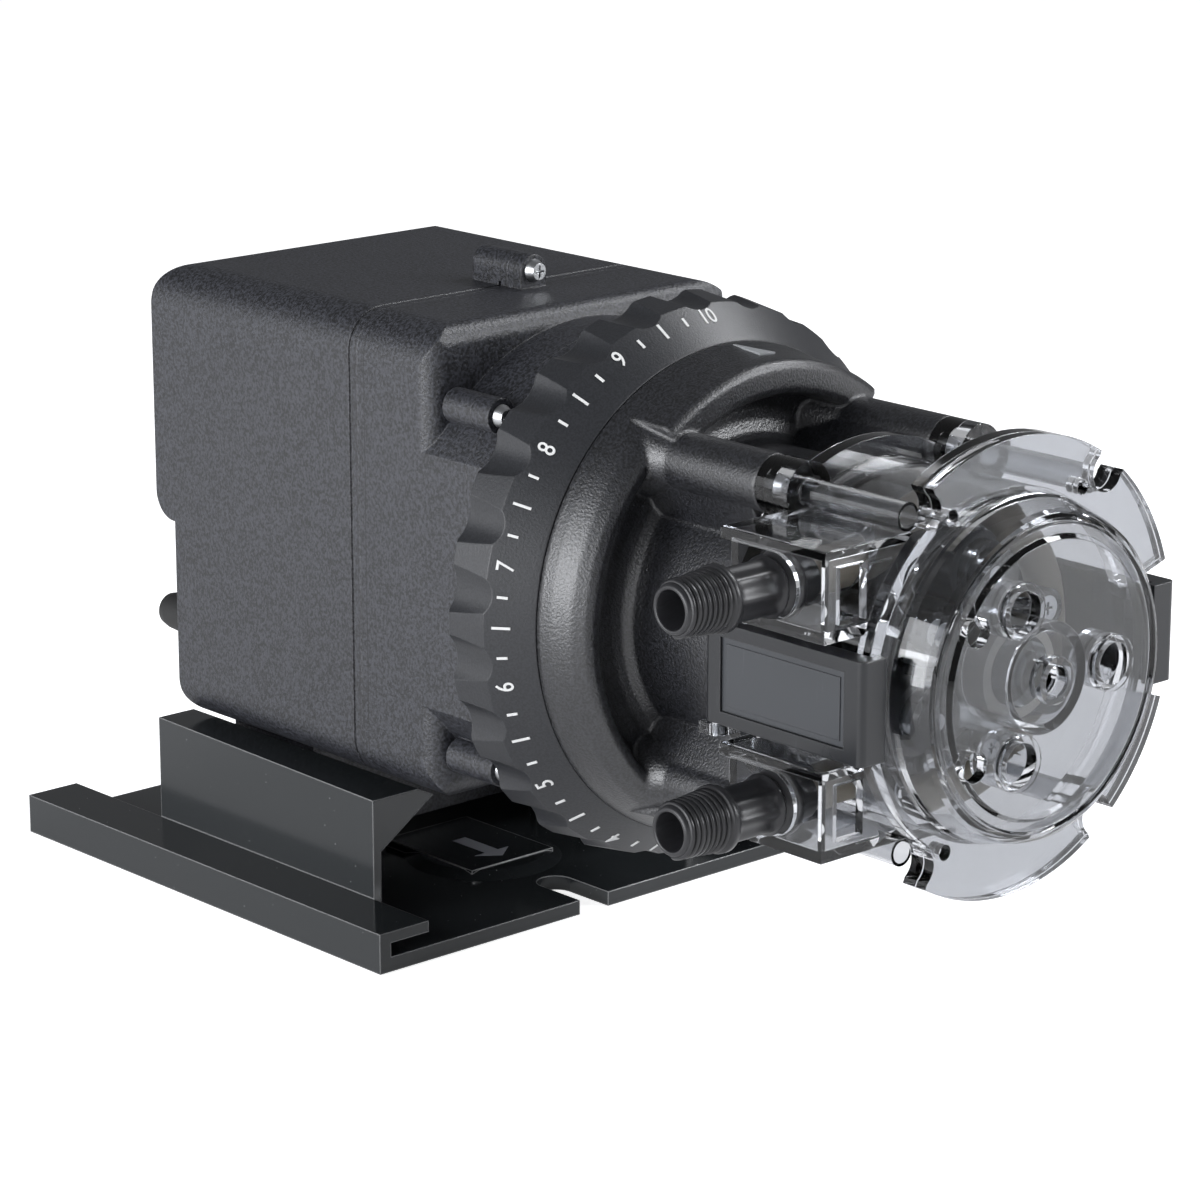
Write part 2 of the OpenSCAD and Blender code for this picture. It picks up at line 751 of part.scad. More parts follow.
module gear_case() {
  color("#2b2d30") difference() {
    union() {
      intersection() {
        head(seam_s) linear_extrude(gear_l) box_section(0);
        side(-box_w, 2 * box_w)
          rounded_front(box_low, box_up, seam_s - 1, box_front_s, case_edge_r);
        plan(box_low - 1, box_up - box_low + 2) rotate(90) mirror([0, 1, 0])
          rounded_front(-box_w / 2, box_w / 2, seam_s - 1, box_front_s, case_edge_r);
      }
      head(box_front_s - case_edge_r - 1)
        linear_extrude(case_split_s - box_front_s + case_edge_r + 1) round_section(0);
      head(case_split_s - lug_l) around(lug_ring_r, lug_angles) cylinder(r = lug_r, h = lug_l);
      top_lug(seam_s, top_lug_front);
    }
    head(seam_s - 1) linear_extrude(gear_l + 1 - wall) box_section(wall);
    head(box_front_s - wall - 1) linear_extrude(case_split_s - box_front_s + wall + 2)
      round_section(wall);
    head(case_split_s - lug_l - 1) around(lug_ring_r, lug_angles)
      cylinder(r = small_screw_r + fit, h = lug_l + 2);
    case_screw_place() translate([0, 0, -top_lug_front - 1])
      cylinder(r = small_screw_r + fit, h = top_lug_front + 2);
  }
}

// Round shoulder behind the dial, its front edges rounded all round
module index_solid(inset) {
  front = index_front_s - inset;
  r = shoulder_edge_r - inset;
  intersection() {
    head(case_split_s + 0.05) linear_extrude(front - case_split_s) round_section(inset);
    head(0) rotate_extrude($fn = 120) intersection() {
      rotate(90) mirror([0, 1, 0])
        rounded_front(-round_r + inset, round_r - inset, case_split_s - 1, front, r);
      translate([0, case_split_s - 1]) square([round_r, front - case_split_s + 1]);
    }
    plan(box_low - 1, box_up - box_low + 2) rotate(90) mirror([0, 1, 0])
      rounded_front(-shoulder_x + inset, shoulder_x - inset, case_split_s - 1, front, r);
  }
}

module index_case() {
  color("#2b2d30") difference() {
    union() {
      index_solid(0);
      head(case_split_s + 0.05) around(lug_ring_r, lug_angles)
        cylinder(r = lug_r, h = lug_front_s - case_split_s - 0.05);
    }
    index_solid(wall);
    head(case_split_s - 1) linear_extrude(2) round_section(wall);
    head(index_front_s - wall - 1) {
      cylinder(r = shaft_r + 2, h = wall + 2);
      around(hub_screw_ring, [30, 150, 270]) cylinder(r = 2 + fit, h = wall + 2);
    }
    head(case_split_s - 1) around(lug_ring_r, lug_angles)
      cylinder(r = small_screw_r + fit, h = 20);
  }
}

module lug_screws() {
  color("#c8cacc") head(lug_front_s) around(lug_ring_r, lug_angles) pan_screw(small_screw_r, 14, 2.8, 2.2);
}

// Dial

module dial_ring() {
  cut_r = 8.2;
  color("#2b2d30") difference() {
    head(0) rotate_extrude($fn = 120) polygon([[hub_r + run_gap, -dial_l],
      [dial_crest_r - 0.6, -dial_l], [dial_crest_r, -dial_l + 0.6], [dial_band_r, -band_l],
      [dial_front_r + 0.8, -0.9], [dial_front_r, 0], [dial_lip_r, 0], [dial_lip_r, -3],
      [dial_shell_r, -3], [dial_shell_r, -dial_l + dial_web],
      [hub_r + run_gap, -dial_l + dial_web]]);
    head(-dial_l - 1) around(dial_crest_r - scallop_d + cut_r, [for (k = [0:scallop_n - 1])
      (k + 0.5) * 360 / scallop_n]) cylinder(r = cut_r, h = dial_l, $fn = 48);
  }
}

// Ring whose edge rises along a spiral over the dial's working turn
module variable_cam() {
  turn = 230;
  rise = 10;
  low_r = hub_r + 4;
  color("#d9d4c3") head(-dial_l + dial_web) linear_extrude(cam_l) difference() {
    polygon([for (k = [0:71]) let (a = k * 5, r = low_r + rise * min(1, a / turn)
      * (a < turn ? 1 : 1 - (a - turn) / (360 - turn))) [r * cos(a), r * sin(a)]]);
    circle(hub_r + run_gap);
  }
}

// Outer housing: ring, neck, crescent pads and the four bosses
module outer_housing() {
  neck_end = neck_l - base_s;
  boss_base = 10;
  color("#2b2d30") difference() {
    union() {
      head(base_s) rotate_extrude($fn = 120) polygon([[0, 0], [dial_front_r - 0.2, 0],
        [dial_front_r - 0.9, 4], [55.6, 8.6], [53.6, 11.2], [52, 12], [50, 12], [ring_in_r, 11],
        [ring_in_r - 0.8, base_l + 2], [ring_in_r - 2.6, base_l + 0.5], [ring_in_r - 5, base_l],
        [neck_r + 5, base_l], [neck_r + 2.4, base_l + 0.7], [neck_r + 0.7, base_l + 2.4],
        [neck_r, base_l + 5], [neck_r, neck_end - 1.2], [neck_r - 0.4, neck_end - 0.4],
        [neck_r - 1.2, neck_end], [0, neck_end]]);
      for (m = [0, 180]) head(base_s) rotate(m + boss_angle)
        rotate_extrude(angle = 180 - 2 * boss_angle, $fn = 120) polygon([[ring_in_r - 1, 1],
          [dial_front_r - 0.6, 1], [dial_front_r - 1.6, 9], [56.4, crescent_l - 2.4],
          [55.8, crescent_l - 1.1], [54.6, crescent_l - 0.4], [50, crescent_l - 0.4],
          [48.8, crescent_l - 0.9], [ring_in_r - 1, crescent_l - 2.4]]);
      head(base_s) around(boss_ring_r, boss_angles) cylinder(r = boss_r, h = neck_end);
      head(base_s + base_l) around(boss_ring_r, boss_angles)
        cylinder(r1 = boss_r + 3.4, r2 = boss_r - 0.1, h = boss_base);
      head(base_s) for (a = boss_angles) rotate(a) linear_extrude(neck_end - 3)
        polygon([[neck_r - 2, -8.6], [boss_ring_r, 0.6 - boss_r], [boss_ring_r, boss_r - 0.6],
          [neck_r - 2, 8.6]]);
      head(index_front_s) cylinder(r = hub_r, h = base_s - index_front_s + 1);
    }
    head(base_s + base_l) difference() {
      cylinder(r = neck_r - neck_wall, h = neck_l);
      cylinder(r = bearing_tube_r, h = neck_l);
    }
    head(index_front_s - 1) cylinder(r = shaft_r + 2, h = neck_l - index_front_s);
    head(neck_l - seal_l - run_gap - bearing_l) cylinder(r = bearing_r + fit, h = 30);
    head(index_front_s - 1) around(hub_screw_ring, [30, 150, 270]) cylinder(r = 2 + fit, h = 60);
    head(neck_l - 12) around(boss_ring_r, boss_angles) cylinder(r = tube_screw_r + fit, h = 13);
  }
}

module hub_screws() {
  color("#c8cacc") head(base_s + base_l) around(hub_screw_ring, [30, 150, 270])
    pan_screw(2, base_s + base_l - index_front_s + wall - 0.5, 3.8, 2.8);
}

module shaft_seal() {
  color("#1c1c1c") head(neck_l - seal_l) difference() {
    cylinder(r = bearing_r, h = seal_l);
    translate([0, 0, -1]) cylinder(r = shaft_r + 0.05, h = seal_l + 2);
  }
}

// Clear tube housing with its fitting holders

module sector(radius, from, to) {
  far = radius * 2;
  mid = (from + to) / 2;
  intersection() {
    circle(radius, $fn = 120);
    polygon([[0, 0], [far * cos(from), far * sin(from)], [far * cos(mid), far * sin(mid)],
      [far * cos(to), far * sin(to)]]);
  }
}

// Flat outline that the tube housing's flange and the cover's flange share
module flange_outline(hole_r) {
  difference() {
    union() {
      circle(clear_out_r + 3.5, $fn = 120);
      sector(ear_r, 18, 180 - boss_angle);
      sector(ear_r, 180 + boss_angle, 342);
      translate([-tab_x, -tab_half]) square([2 * tab_x, 2 * tab_half]);
    }
    around(boss_ring_r, boss_angles) circle(column_bore_r - 0.2);
    around(boss_ring_r + 2.5, boss_angles) circle(notch_r);
    around(boss_ring_r + notch_r + 1, boss_angles) circle(notch_r);
    around(boss_ring_r - 3.6, [boss_angle + 7, 173 - boss_angle, 187 + boss_angle,
      353 - boss_angle]) circle(1.8);
    circle(hole_r, $fn = 120);
  }
}

module holder_box(grow) {
  head(holder_s + grow) translate([-holder_x + grow, port_z - holder_h / 2 + grow, 0])
    cube([holder_x - 20, holder_h - 2 * grow, holder_l - 2 * grow]);
}

module holder() {
  difference() {
    holder_box(0);
    difference() {
      holder_box(holder_wall);
      head(holder_s) cylinder(r = clear_out_r, h = holder_l, $fn = 120);
    }
    head(holder_s + holder_l - holder_wall - 1) translate([-holder_x + 4.5, port_z - 6.5, 0])
      cube([8, 12.5, holder_wall + 2]);
    head(holder_s - 1) translate([-holder_x - 1, port_z - collar_r - run_gap, 0])
      cube([holder_wall + 2, 2 * (collar_r + run_gap), holder_l / 2 + 1]);
    head(tube_s) translate([-holder_x - 1, port_z, 0]) rotate([0, 90, 0])
      cylinder(r = collar_r + run_gap, h = holder_wall + 2);
  }
}

module latch_lug(side_x) {
  for (up = [-1, 1]) {
    low = up * (latch_h / 2 + run_gap + lug_plate / 2) - lug_plate / 2;
    plan(low, lug_plate) mirror([side_x > 0 ? 1 : 0, 0]) union() {
      translate([-latch_pin_x, latch_pin_s]) circle(lug_plate + 0.4);
      translate([-latch_pin_x, neck_l + 1]) square([12, latch_pin_s - neck_l + 2]);
      translate([-latch_pin_x - lug_plate - 0.4, latch_pin_s - 3]) square([6, 3]);
    }
  }
}

module tube_housing() {
  color([0.62, 0.64, 0.66, 0.45]) difference() {
    union() {
      head(neck_l) cylinder(r = back_plate_r, h = back_plate_t, $fn = 120);
      head(neck_l) cylinder(r = clear_out_r, h = chamber_l, $fn = 120);
      head(neck_l) around(boss_ring_r, boss_angles) cylinder(r = boss_r, h = sleeve_l);
      head(neck_l) around(boss_ring_r, boss_angles) cylinder(r = column_r, h = flange_s - neck_l);
      head(flange_s) linear_extrude(flange_t) flange_outline(chamber_r);
      holder();
      translate([0, 0, 2 * axis_z]) mirror([0, 0, 1]) holder();
      latch_lug(-1);
      latch_lug(1);
    }
    head(neck_l + back_plate_t) cylinder(r = chamber_r, h = chamber_l, $fn = 120);
    head(neck_l - 1) cylinder(r = back_hole_r, h = 10);
    head(neck_l - 1) around(boss_ring_r, boss_angles) cylinder(r = tube_screw_r + fit, h = 10);
    head(neck_l + 3) around(boss_ring_r, boss_angles) cylinder(r = column_bore_r, h = chamber_l);
    head(tube_s) for (up = [-1, 1]) translate([-clear_out_r, up * port_z, 0]) rotate([0, 90, 0])
      cylinder(r = tube_r + 0.9, h = 22);
    for (m = [0, 1]) mirror([m, 0, 0]) translate([-latch_pin_x, dial_seam_y - latch_pin_s, axis_z - 30])
      cylinder(r = latch_pin_r + fit, h = 60);
  }
}

module tube_screws() {
  color("#c8cacc") head(neck_l + 3) around(boss_ring_r, boss_angles)
    pan_screw(tube_screw_r, 14, 2.3, 2);
}

// Fittings and tube

module fitting(up) {
  out = port_reach - holder_x;
  shoulder = out - thread_l;
  inner = -holder_wall - 0.2;
  head(tube_s) translate([-holder_x, up * port_z, 0]) rotate([0, -90, 0]) rotate_extrude()
    polygon([[tube_bore_r - 0.9, inner - 2 - barb_l], [tube_bore_r - 0.3, inner - 2 - barb_l],
      [tube_bore_r - fit, inner - barb_l], [tube_bore_r - fit, inner - 2], [collar_r + 0.6, inner - 2],
      [collar_r + 0.6, inner], [collar_r, inner], [collar_r, 2], [collar_r + 0.8, 2.2],
      [collar_r + 0.8, 4], [thread_r - 0.5, 4.4], [thread_r - 0.4, shoulder - 0.6],
      [thread_r, shoulder], [thread_r, out - 2.4], [thread_r - 0.6, out - 0.6],
      [thread_r - 1.1, out], [port_bore_r, out], [port_bore_r, 6], [tube_bore_r - 0.9, 2]]);
}

module suction_fitting() {
  color("#191a1b") fitting(-1);
}

module discharge_fitting() {
  color("#191a1b") fitting(1);
}

// Solid that follows the tube's route with a given radius
module tube_route(r) {
  straight = holder_x - holder_wall - collar_l + 2.4 + bend_x;
  far = 2 * tube_ring_r;
  head(tube_s) {
    intersection() {
      rotate_extrude($fn = 96) translate([tube_ring_r, 0]) circle(r, $fn = 32);
      linear_extrude(4 * r, center = true) polygon([[0, 0], [-far * sin(bend_a), -far * cos(bend_a)],
        [0, -far], [far, -far], [far, far], [0, far], [-far * sin(bend_a), far * cos(bend_a)]]);
    }
    for (m = [0, 1]) mirror([0, m, 0]) {
      translate([bend_x, port_z + bend_r, 0]) intersection() {
        rotate_extrude($fn = 96) translate([bend_r, 0]) circle(r, $fn = 32);
        linear_extrude(4 * r, center = true) polygon([[0, 0], [0, -2 * bend_r],
          [2 * bend_r * sin(bend_a), -2 * bend_r], [2 * bend_r * sin(bend_a), -2 * bend_r * cos(bend_a)]]);
      }
      translate([bend_x, port_z, 0]) rotate([0, -90, 0]) cylinder(r = r, h = straight);
      translate([bend_x, port_z, 0]) rotate([0, 90, 0]) cylinder(r = r + 0.05, h = 1, center = true);
      rotate(90 + bend_a) translate([tube_ring_r, 0, 0]) rotate([90, 0, 0])
        cylinder(r = r + 0.05, h = 1, center = true);
    }
  }
}

module pump_tube() {
  color("#d8d3c4") difference() {
    tube_route(tube_r);
    tube_route(tube_bore_r);
  }
}

module tube_ferrules() {
  start = holder_x - holder_wall - collar_l + 2.4;
  color("#191a1b") head(tube_s) for (up = [-1, 1])
    translate([-start + ferrule_l, up * port_z, 0]) rotate([0, -90, 0]) difference() {
      cylinder(r = tube_r + 1.2, h = ferrule_l);
      translate([0, 0, -1]) cylinder(r = tube_r + fit, h = ferrule_l + 2);
    }
}

// Roller assembly

module roller_plate_outline() {
  circle(centre_r);
  for (a = roller_angles) rotate(a) {
    translate([0, -lobe_r]) square([roller_ring_r, 2 * lobe_r]);
    translate([roller_ring_r, 0]) circle(lobe_r);
    rotate(60) translate([0, -spacer_lobe_r]) square([spacer_ring, 2 * spacer_lobe_r]);
    rotate(60) translate([spacer_ring, 0]) circle(spacer_lobe_r);
  }
}

module rear_roller_plate() {
  color([0.45, 0.47, 0.49, 0.6]) difference() {
    union() {
      head(rear_plate_s) linear_extrude(roller_plate_t) roller_plate_outline();
      head(rear_plate_s - 4) cylinder(r = shaft_r + 4, h = 5);
      head(rear_plate_s) around(spacer_ring, [for (a = roller_angles) a + 60])
        cylinder(r = spacer_r, h = front_plate_s - rear_plate_s);
    }
    head(rear_plate_s - 5) cylinder(r = shaft_r + fit, h = 30);
    head(rear_plate_s - 1) around(roller_ring_r, roller_angles) cylinder(r = pin_r + fit, h = 10);
    head(rear_plate_s + 4) around(spacer_ring, [for (a = roller_angles) a + 60])
      cylinder(r = small_screw_r + fit, h = 40);
  }
}

module front_roller_plate() {
  head_h = 1.6;
  color([0.45, 0.47, 0.49, 0.6]) difference() {
    union() {
      head(front_plate_s) linear_extrude(roller_plate_t) roller_plate_outline();
      head(front_plate_s) cylinder(r = roller_hub_r, h = roller_plate_t + roller_hub_l);
    }
    head(front_plate_s - 1) cylinder(r = shaft_r + fit, h = roller_plate_t + 1 + fit);
    head(front_plate_s - 1) around(roller_ring_r, roller_angles) cylinder(r = pin_r + fit, h = 10);
    head(front_plate_s - 1) around(spacer_ring, [for (a = roller_angles) a + 60])
      cylinder(r = small_screw_r + fit, h = 10);
    head(front_plate_s + roller_plate_t - head_h - fit)
      around(spacer_ring, [for (a = roller_angles) a + 60])
        cylinder(r1 = small_screw_r + fit, r2 = 3 + 0.05, h = head_h + 0.05);
  }
}

module roller(k) {
  color("#3c3f42") head(tube_s - roller_l / 2) around(roller_ring_r, [roller_angles[k]]) difference() {
    cylinder(r = roller_r, h = roller_l);
    translate([0, 0, -1]) cylinder(r = pin_r + 0.04, h = roller_l + 2);
  }
}

module roller_1() { roller(0); }
module roller_2() { roller(1); }
module roller_3() { roller(2); }

module roller_pins() {
  color("#d0d2d4") head(rear_plate_s) around(roller_ring_r, roller_angles)
    cylinder(r = pin_r, h = front_plate_s + roller_plate_t - rear_plate_s);
}

module roller_screws() {
  color("#c8cacc") head(front_plate_s + roller_plate_t) around(spacer_ring,
    [for (a = roller_angles) a + 60]) flat_screw(small_screw_r, 14, 3, 1.6);
}

// Clear cover

module cover() {
  large = [0, 120, 240];
  small = [147.5, 212.5];
  top = cover_flange_t + dome_l;
  color([0.66, 0.68, 0.70, 0.4]) difference() {
    union() {
      head(cover_s) linear_extrude(cover_flange_t) flange_outline(dome_r - cover_wall);
      head(cover_s) rotate_extrude($fn = 120) polygon([[dome_r - cover_wall, 0], [dome_r, 0],
        [dome_r, cover_flange_t + 1], [dome_r - 1.8, top - 2.6], [dome_r - 2.4, top - 1.2],
        [dome_r - 3.4, top - 0.3], [dome_r - 4.4, top], [disc_r + 2, top - 0.8],
        [disc_r, top - 0.8], [disc_r - 1, top + 0.4], [0, top + 0.4], [0, top - cover_wall],
        [dome_r - cover_wall - 2.2, top - cover_wall], [dome_r - cover_wall, cover_flange_t + 1]]);
      head(dome_s - 8) around(cover_hole_ring, large) cylinder(r = 6.4, h = 9.2);
      head(front_plate_s + roller_plate_t + 0.5)
        cylinder(r = bush_r + 2, h = dome_s - front_plate_s - roller_plate_t - 1);
      head(dome_s - 1) cylinder(r = 5.4, h = 3);
    }
    head(dome_s - 20) around(cover_hole_ring, large) cylinder(r = 4.8, h = 40);
    head(dome_s - 4) around(27.8, small) cylinder(r = 3.5, h = 8);
    head(front_plate_s) cylinder(r = bush_r + fit, h = dome_s - 4 - front_plate_s);
    head(dome_s - 5) cylinder(r = 3.6, h = 20);
  }
}

module cover_bush() {
  length = roller_hub_l - 1;
  color("#e4e2da") head(front_plate_s + roller_plate_t + 0.7) difference() {
    cylinder(r = bush_r, h = length);
    translate([0, 0, -1]) cylinder(r = roller_hub_r + 0.04, h = length + 2);
  }
}

// Latches

module latch() {
  half = latch_h / 2;
  color("#17191b") difference() {
    union() {
      plan(-half, latch_h) union() {
        translate([-latch_x, latch_pin_s]) square([latch_t, latch_tip_s - latch_tip_r - latch_pin_s]);
        translate([-latch_pin_x, latch_pin_s]) circle(latch_t / 2);
        translate([-latch_x + latch_tip_r, latch_hook_s])
          square([latch_x - latch_tip_r - hook_x, latch_tip_s - latch_hook_s]);
        translate([-latch_x + latch_tip_r, latch_tip_s - latch_tip_r]) circle(latch_tip_r);
      }
    }
    plan(-half + 3, latch_h - 6) translate([-latch_x - 1, latch_pin_s + 3])
      square([1 + latch_panel_d, latch_hook_s - 6 - latch_pin_s]);
    translate([-latch_pin_x, dial_seam_y - latch_pin_s, axis_z - half - 1])
      cylinder(r = latch_pin_r + 0.04, h = latch_h + 2);
  }
}

module left_latch() { latch(); }
module right_latch() { mirror([1, 0, 0]) latch(); }

module latch_pins() {
  height = latch_h + 2 * run_gap + 2 * lug_plate;
  color("#d0d2d4") for (m = [0, 1]) mirror([m, 0, 0])
    translate([-latch_pin_x, dial_seam_y - latch_pin_s, axis_z - height / 2])
      cylinder(r = latch_pin_r, h = height);
}

mounting_bracket();
rear_housing();
slide_foot();
foot_screws();
case_screw();
cord_gland();
gear_plate();
plate_screws();
motor_stator();
motor_coil();
motor_bridges();
motor_bolts();
motor_rotor();
rotor_shaft();
motor_fan();
idler_post();
idler_gear();
main_gear();
main_shaft();
shaft_bearings();
gear_case();
index_case();
lug_screws();
dial_ring();
variable_cam();
outer_housing();
hub_screws();
shaft_seal();
tube_housing();
tube_screws();
rear_roller_plate();
front_roller_plate();
roller_1();
roller_2();
roller_3();
roller_pins();
roller_screws();
pump_tube();
tube_ferrules();
suction_fitting();
discharge_fitting();
cover();
cover_bush();
left_latch();
right_latch();
latch_pins();
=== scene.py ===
# %% [markdown]
# A peristaltic metering pump on its slide-on bracket.
# The rigid pieces come ready from the CAD frame. This file gives them their finishes and adds
# what a drawing of solids leaves out: the printed scale, the pipe threads, the pointer and
# the small moulded marks. Everything is in metres, in the frame of the CAD model.

# %% Load the frame
import math

import bmesh
import bpy
from mathutils import Matrix, Vector


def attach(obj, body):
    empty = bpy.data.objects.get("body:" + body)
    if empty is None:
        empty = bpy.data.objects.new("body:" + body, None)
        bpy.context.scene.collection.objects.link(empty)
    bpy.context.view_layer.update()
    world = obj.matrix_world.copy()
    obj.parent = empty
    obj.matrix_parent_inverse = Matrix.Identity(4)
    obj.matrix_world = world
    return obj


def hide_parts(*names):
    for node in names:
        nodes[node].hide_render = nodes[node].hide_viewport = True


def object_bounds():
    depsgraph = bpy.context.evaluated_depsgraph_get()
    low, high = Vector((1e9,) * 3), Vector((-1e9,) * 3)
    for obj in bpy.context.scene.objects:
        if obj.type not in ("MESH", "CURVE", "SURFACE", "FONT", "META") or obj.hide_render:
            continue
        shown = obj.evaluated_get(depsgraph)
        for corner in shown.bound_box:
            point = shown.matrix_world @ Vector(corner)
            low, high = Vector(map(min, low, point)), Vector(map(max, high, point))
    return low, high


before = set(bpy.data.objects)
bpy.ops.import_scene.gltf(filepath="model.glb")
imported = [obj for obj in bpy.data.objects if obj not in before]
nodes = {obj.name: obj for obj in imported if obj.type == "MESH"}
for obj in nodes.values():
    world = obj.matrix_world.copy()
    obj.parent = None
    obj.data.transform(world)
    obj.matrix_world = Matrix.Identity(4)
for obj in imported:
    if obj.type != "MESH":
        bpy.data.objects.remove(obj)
cad_low, cad_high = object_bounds()
MM = 0.001
PUMP_AXIS_MM = 91.5
DIAL_SEAM_MM = -117.0
PUMP_AXIS_Z = PUMP_AXIS_MM * MM
DIAL_SEAM_Y = DIAL_SEAM_MM * MM
print("CAD box in mm", [round(v / MM, 1) for v in (*cad_low, *cad_high)])


# %% [markdown]
# The camera stands at the photograph's viewpoint: in front of the pump, to its left and
# a little above it, with a long lens. Its place was worked out from the round edges of the
# dial and the head, the bracket's corners and the upright edges, so every piece can be
# compared with the picture directly.

# %% Camera
def aim_camera(place_mm, yaw_deg, pitch_deg, lens_mm):
    data = bpy.data.cameras.new("product_camera")
    data.lens = lens_mm
    data.sensor_width = 36.0
    data.clip_start = 0.05
    data.clip_end = 30.0
    camera = bpy.data.objects.new("product_camera", data)
    camera.location = Vector(place_mm) * MM
    camera.rotation_euler = (math.radians(90 - pitch_deg), 0, math.radians(-yaw_deg))
    bpy.context.scene.collection.objects.link(camera)
    bpy.context.scene.camera = camera
    return camera


camera = aim_camera((-655.3, -798.4, 347.7), 42.14, 15.34, 125.93)
print("camera lens", camera.data.lens)


# %% [markdown]
# Node trees are easier to read when each node is one short call. This helper makes a node,
# sets plain values on its sockets and links what is given as a link.

# %% A short way to write node trees
def add_node(tree, kind, settings=None, **inputs):
    made = tree.nodes.new(kind)
    for key, value in (settings or {}).items():
        setattr(made, key, value)
    for key, value in inputs.items():
        name = key.replace("_", " ")
        socket = made.inputs[int(name[1:])] if name[0] == "i" and name[1:].isdigit() else made.inputs[name]
        if isinstance(value, bpy.types.NodeSocket):
            tree.links.new(value, socket)
        else:
            socket.default_value = value
    return made


def ramp(tree, factor, low, high, low_color=(0, 0, 0, 1), high_color=(1, 1, 1, 1)):
    made = add_node(tree, "ShaderNodeValToRGB", i0=factor)
    made.color_ramp.elements[0].position = low
    made.color_ramp.elements[1].position = high
    made.color_ramp.elements[0].color = low_color
    made.color_ramp.elements[1].color = high_color
    return made.outputs["Color"]


# %% [markdown]
# The pump was lit in a dim room by large soft lights, mostly from its left, with one in front
# on the right, and stands on a white ground. The world is therefore dim for everything but
# what is seen directly or through the clear plastic. The floor is pale and keeps a soft shadow.

# %% Studio
def seen_as_white(tree, through_clear, in_reflections):
    """1 where the camera looks straight at it, less through clear plastic and in reflections."""
    path = add_node(tree, "ShaderNodeLightPath")
    clear = add_node(tree, "ShaderNodeMath", {"operation": "MULTIPLY"},
                     i0=path.outputs["Is Transmission Ray"], i1=through_clear)
    gloss = add_node(tree, "ShaderNodeMath", {"operation": "MULTIPLY"},
                     i0=path.outputs["Is Glossy Ray"], i1=in_reflections)
    either = add_node(tree, "ShaderNodeMath", {"operation": "MAXIMUM"}, i0=clear.outputs[0],
                      i1=gloss.outputs[0])
    return add_node(tree, "ShaderNodeMath", {"operation": "MAXIMUM"},
                    i0=path.outputs["Is Camera Ray"], i1=either.outputs[0])


def build_world():
    world = bpy.data.worlds.new("studio")
    bpy.context.scene.world = world
    world.use_nodes = True
    tree = world.node_tree
    tree.nodes.clear()
    direction = add_node(tree, "ShaderNodeTexCoord").outputs["Generated"]
    height = add_node(tree, "ShaderNodeSeparateXYZ", Vector=direction).outputs["Z"]
    glow = ramp(tree, height, 0.0, 0.6, (0.19, 0.193, 0.20, 1), (0.15, 0.152, 0.157, 1))
    lit = add_node(tree, "ShaderNodeBackground", Color=glow, Strength=1.0)
    white = add_node(tree, "ShaderNodeBackground", Color=(1, 1, 1, 1), Strength=1.0)
    seen = seen_as_white(tree, 0.62, 0.0)
    mix = add_node(tree, "ShaderNodeMixShader", i0=seen.outputs[0])
    tree.links.new(lit.outputs[0], mix.inputs[1])
    tree.links.new(white.outputs[0], mix.inputs[2])
    out = add_node(tree, "ShaderNodeOutputWorld")
    tree.links.new(mix.outputs[0], out.inputs[0])


def soft_light(name, place, target, size, power, color=(0.955, 0.97, 1.0)):
    data = bpy.data.lights.new(name, "AREA")
    data.shape = "RECTANGLE"
    data.size, data.size_y = size
    data.energy = power
    data.color = color
    light = bpy.data.objects.new(name, data)
    light.location = Vector(place)
    light.rotation_euler = (Vector(target) - Vector(place)).to_track_quat("-Z", "Y").to_euler()
    bpy.context.scene.collection.objects.link(light)
    return light


build_world()
middle = (0, -0.06, 0.09)
soft_light("left_low", (-1.30, 0.10, 0.20), middle, (0.7, 0.5), 10)
soft_light("left_high", (-1.20, 0.10, 0.60), middle, (0.7, 0.5), 6)
soft_light("left_rear", (-0.95, 0.85, 0.35), middle, (0.6, 0.6), 1.8)
soft_light("left_front", (-1.15, -0.55, 0.35), middle, (0.6, 0.6), 4.5)
soft_light("right_front", (0.75, -1.05, 0.60), middle, (0.4, 0.4), 9)
soft_light("upper_right", (0.80, -0.30, 0.95), middle, (0.3, 0.3), 6)
soft_light("front_low", (-0.10, -1.35, 0.20), middle, (0.6, 0.4), 1.2)
bpy.context.scene.view_settings.view_transform = "Standard"


def build_floor():
    mesh = bpy.data.meshes.new("studio_floor")
    reach = 6.0
    corners = [(-reach, -reach, 0), (reach, -reach, 0), (reach, reach, 0), (-reach, reach, 0)]
    mesh.from_pydata(corners, [], [(0, 1, 2, 3)])
    floor = bpy.data.objects.new("studio_floor", mesh)
    floor.location.z = cad_low[2] - 0.0002
    bpy.context.scene.collection.objects.link(floor)
    paint = bpy.data.materials.new("studio_floor")
    paint.use_nodes = True
    tree = paint.node_tree
    tree.nodes.clear()
    matt = add_node(tree, "ShaderNodeBsdfDiffuse", Color=(0.86, 0.86, 0.87, 1))
    glow = add_node(tree, "ShaderNodeEmission", Color=(1, 1, 1, 1), Strength=0.80)
    seen = seen_as_white(tree, 0.72, 0.45)
    both = add_node(tree, "ShaderNodeAddShader")
    tree.links.new(matt.outputs[0], both.inputs[0])
    tree.links.new(glow.outputs[0], both.inputs[1])
    mix = add_node(tree, "ShaderNodeMixShader", i0=seen.outputs[0])
    tree.links.new(matt.outputs[0], mix.inputs[1])
    tree.links.new(both.outputs[0], mix.inputs[2])
    out = add_node(tree, "ShaderNodeOutputMaterial")
    tree.links.new(mix.outputs[0], out.inputs[0])
    mesh.materials.append(paint)


build_floor()


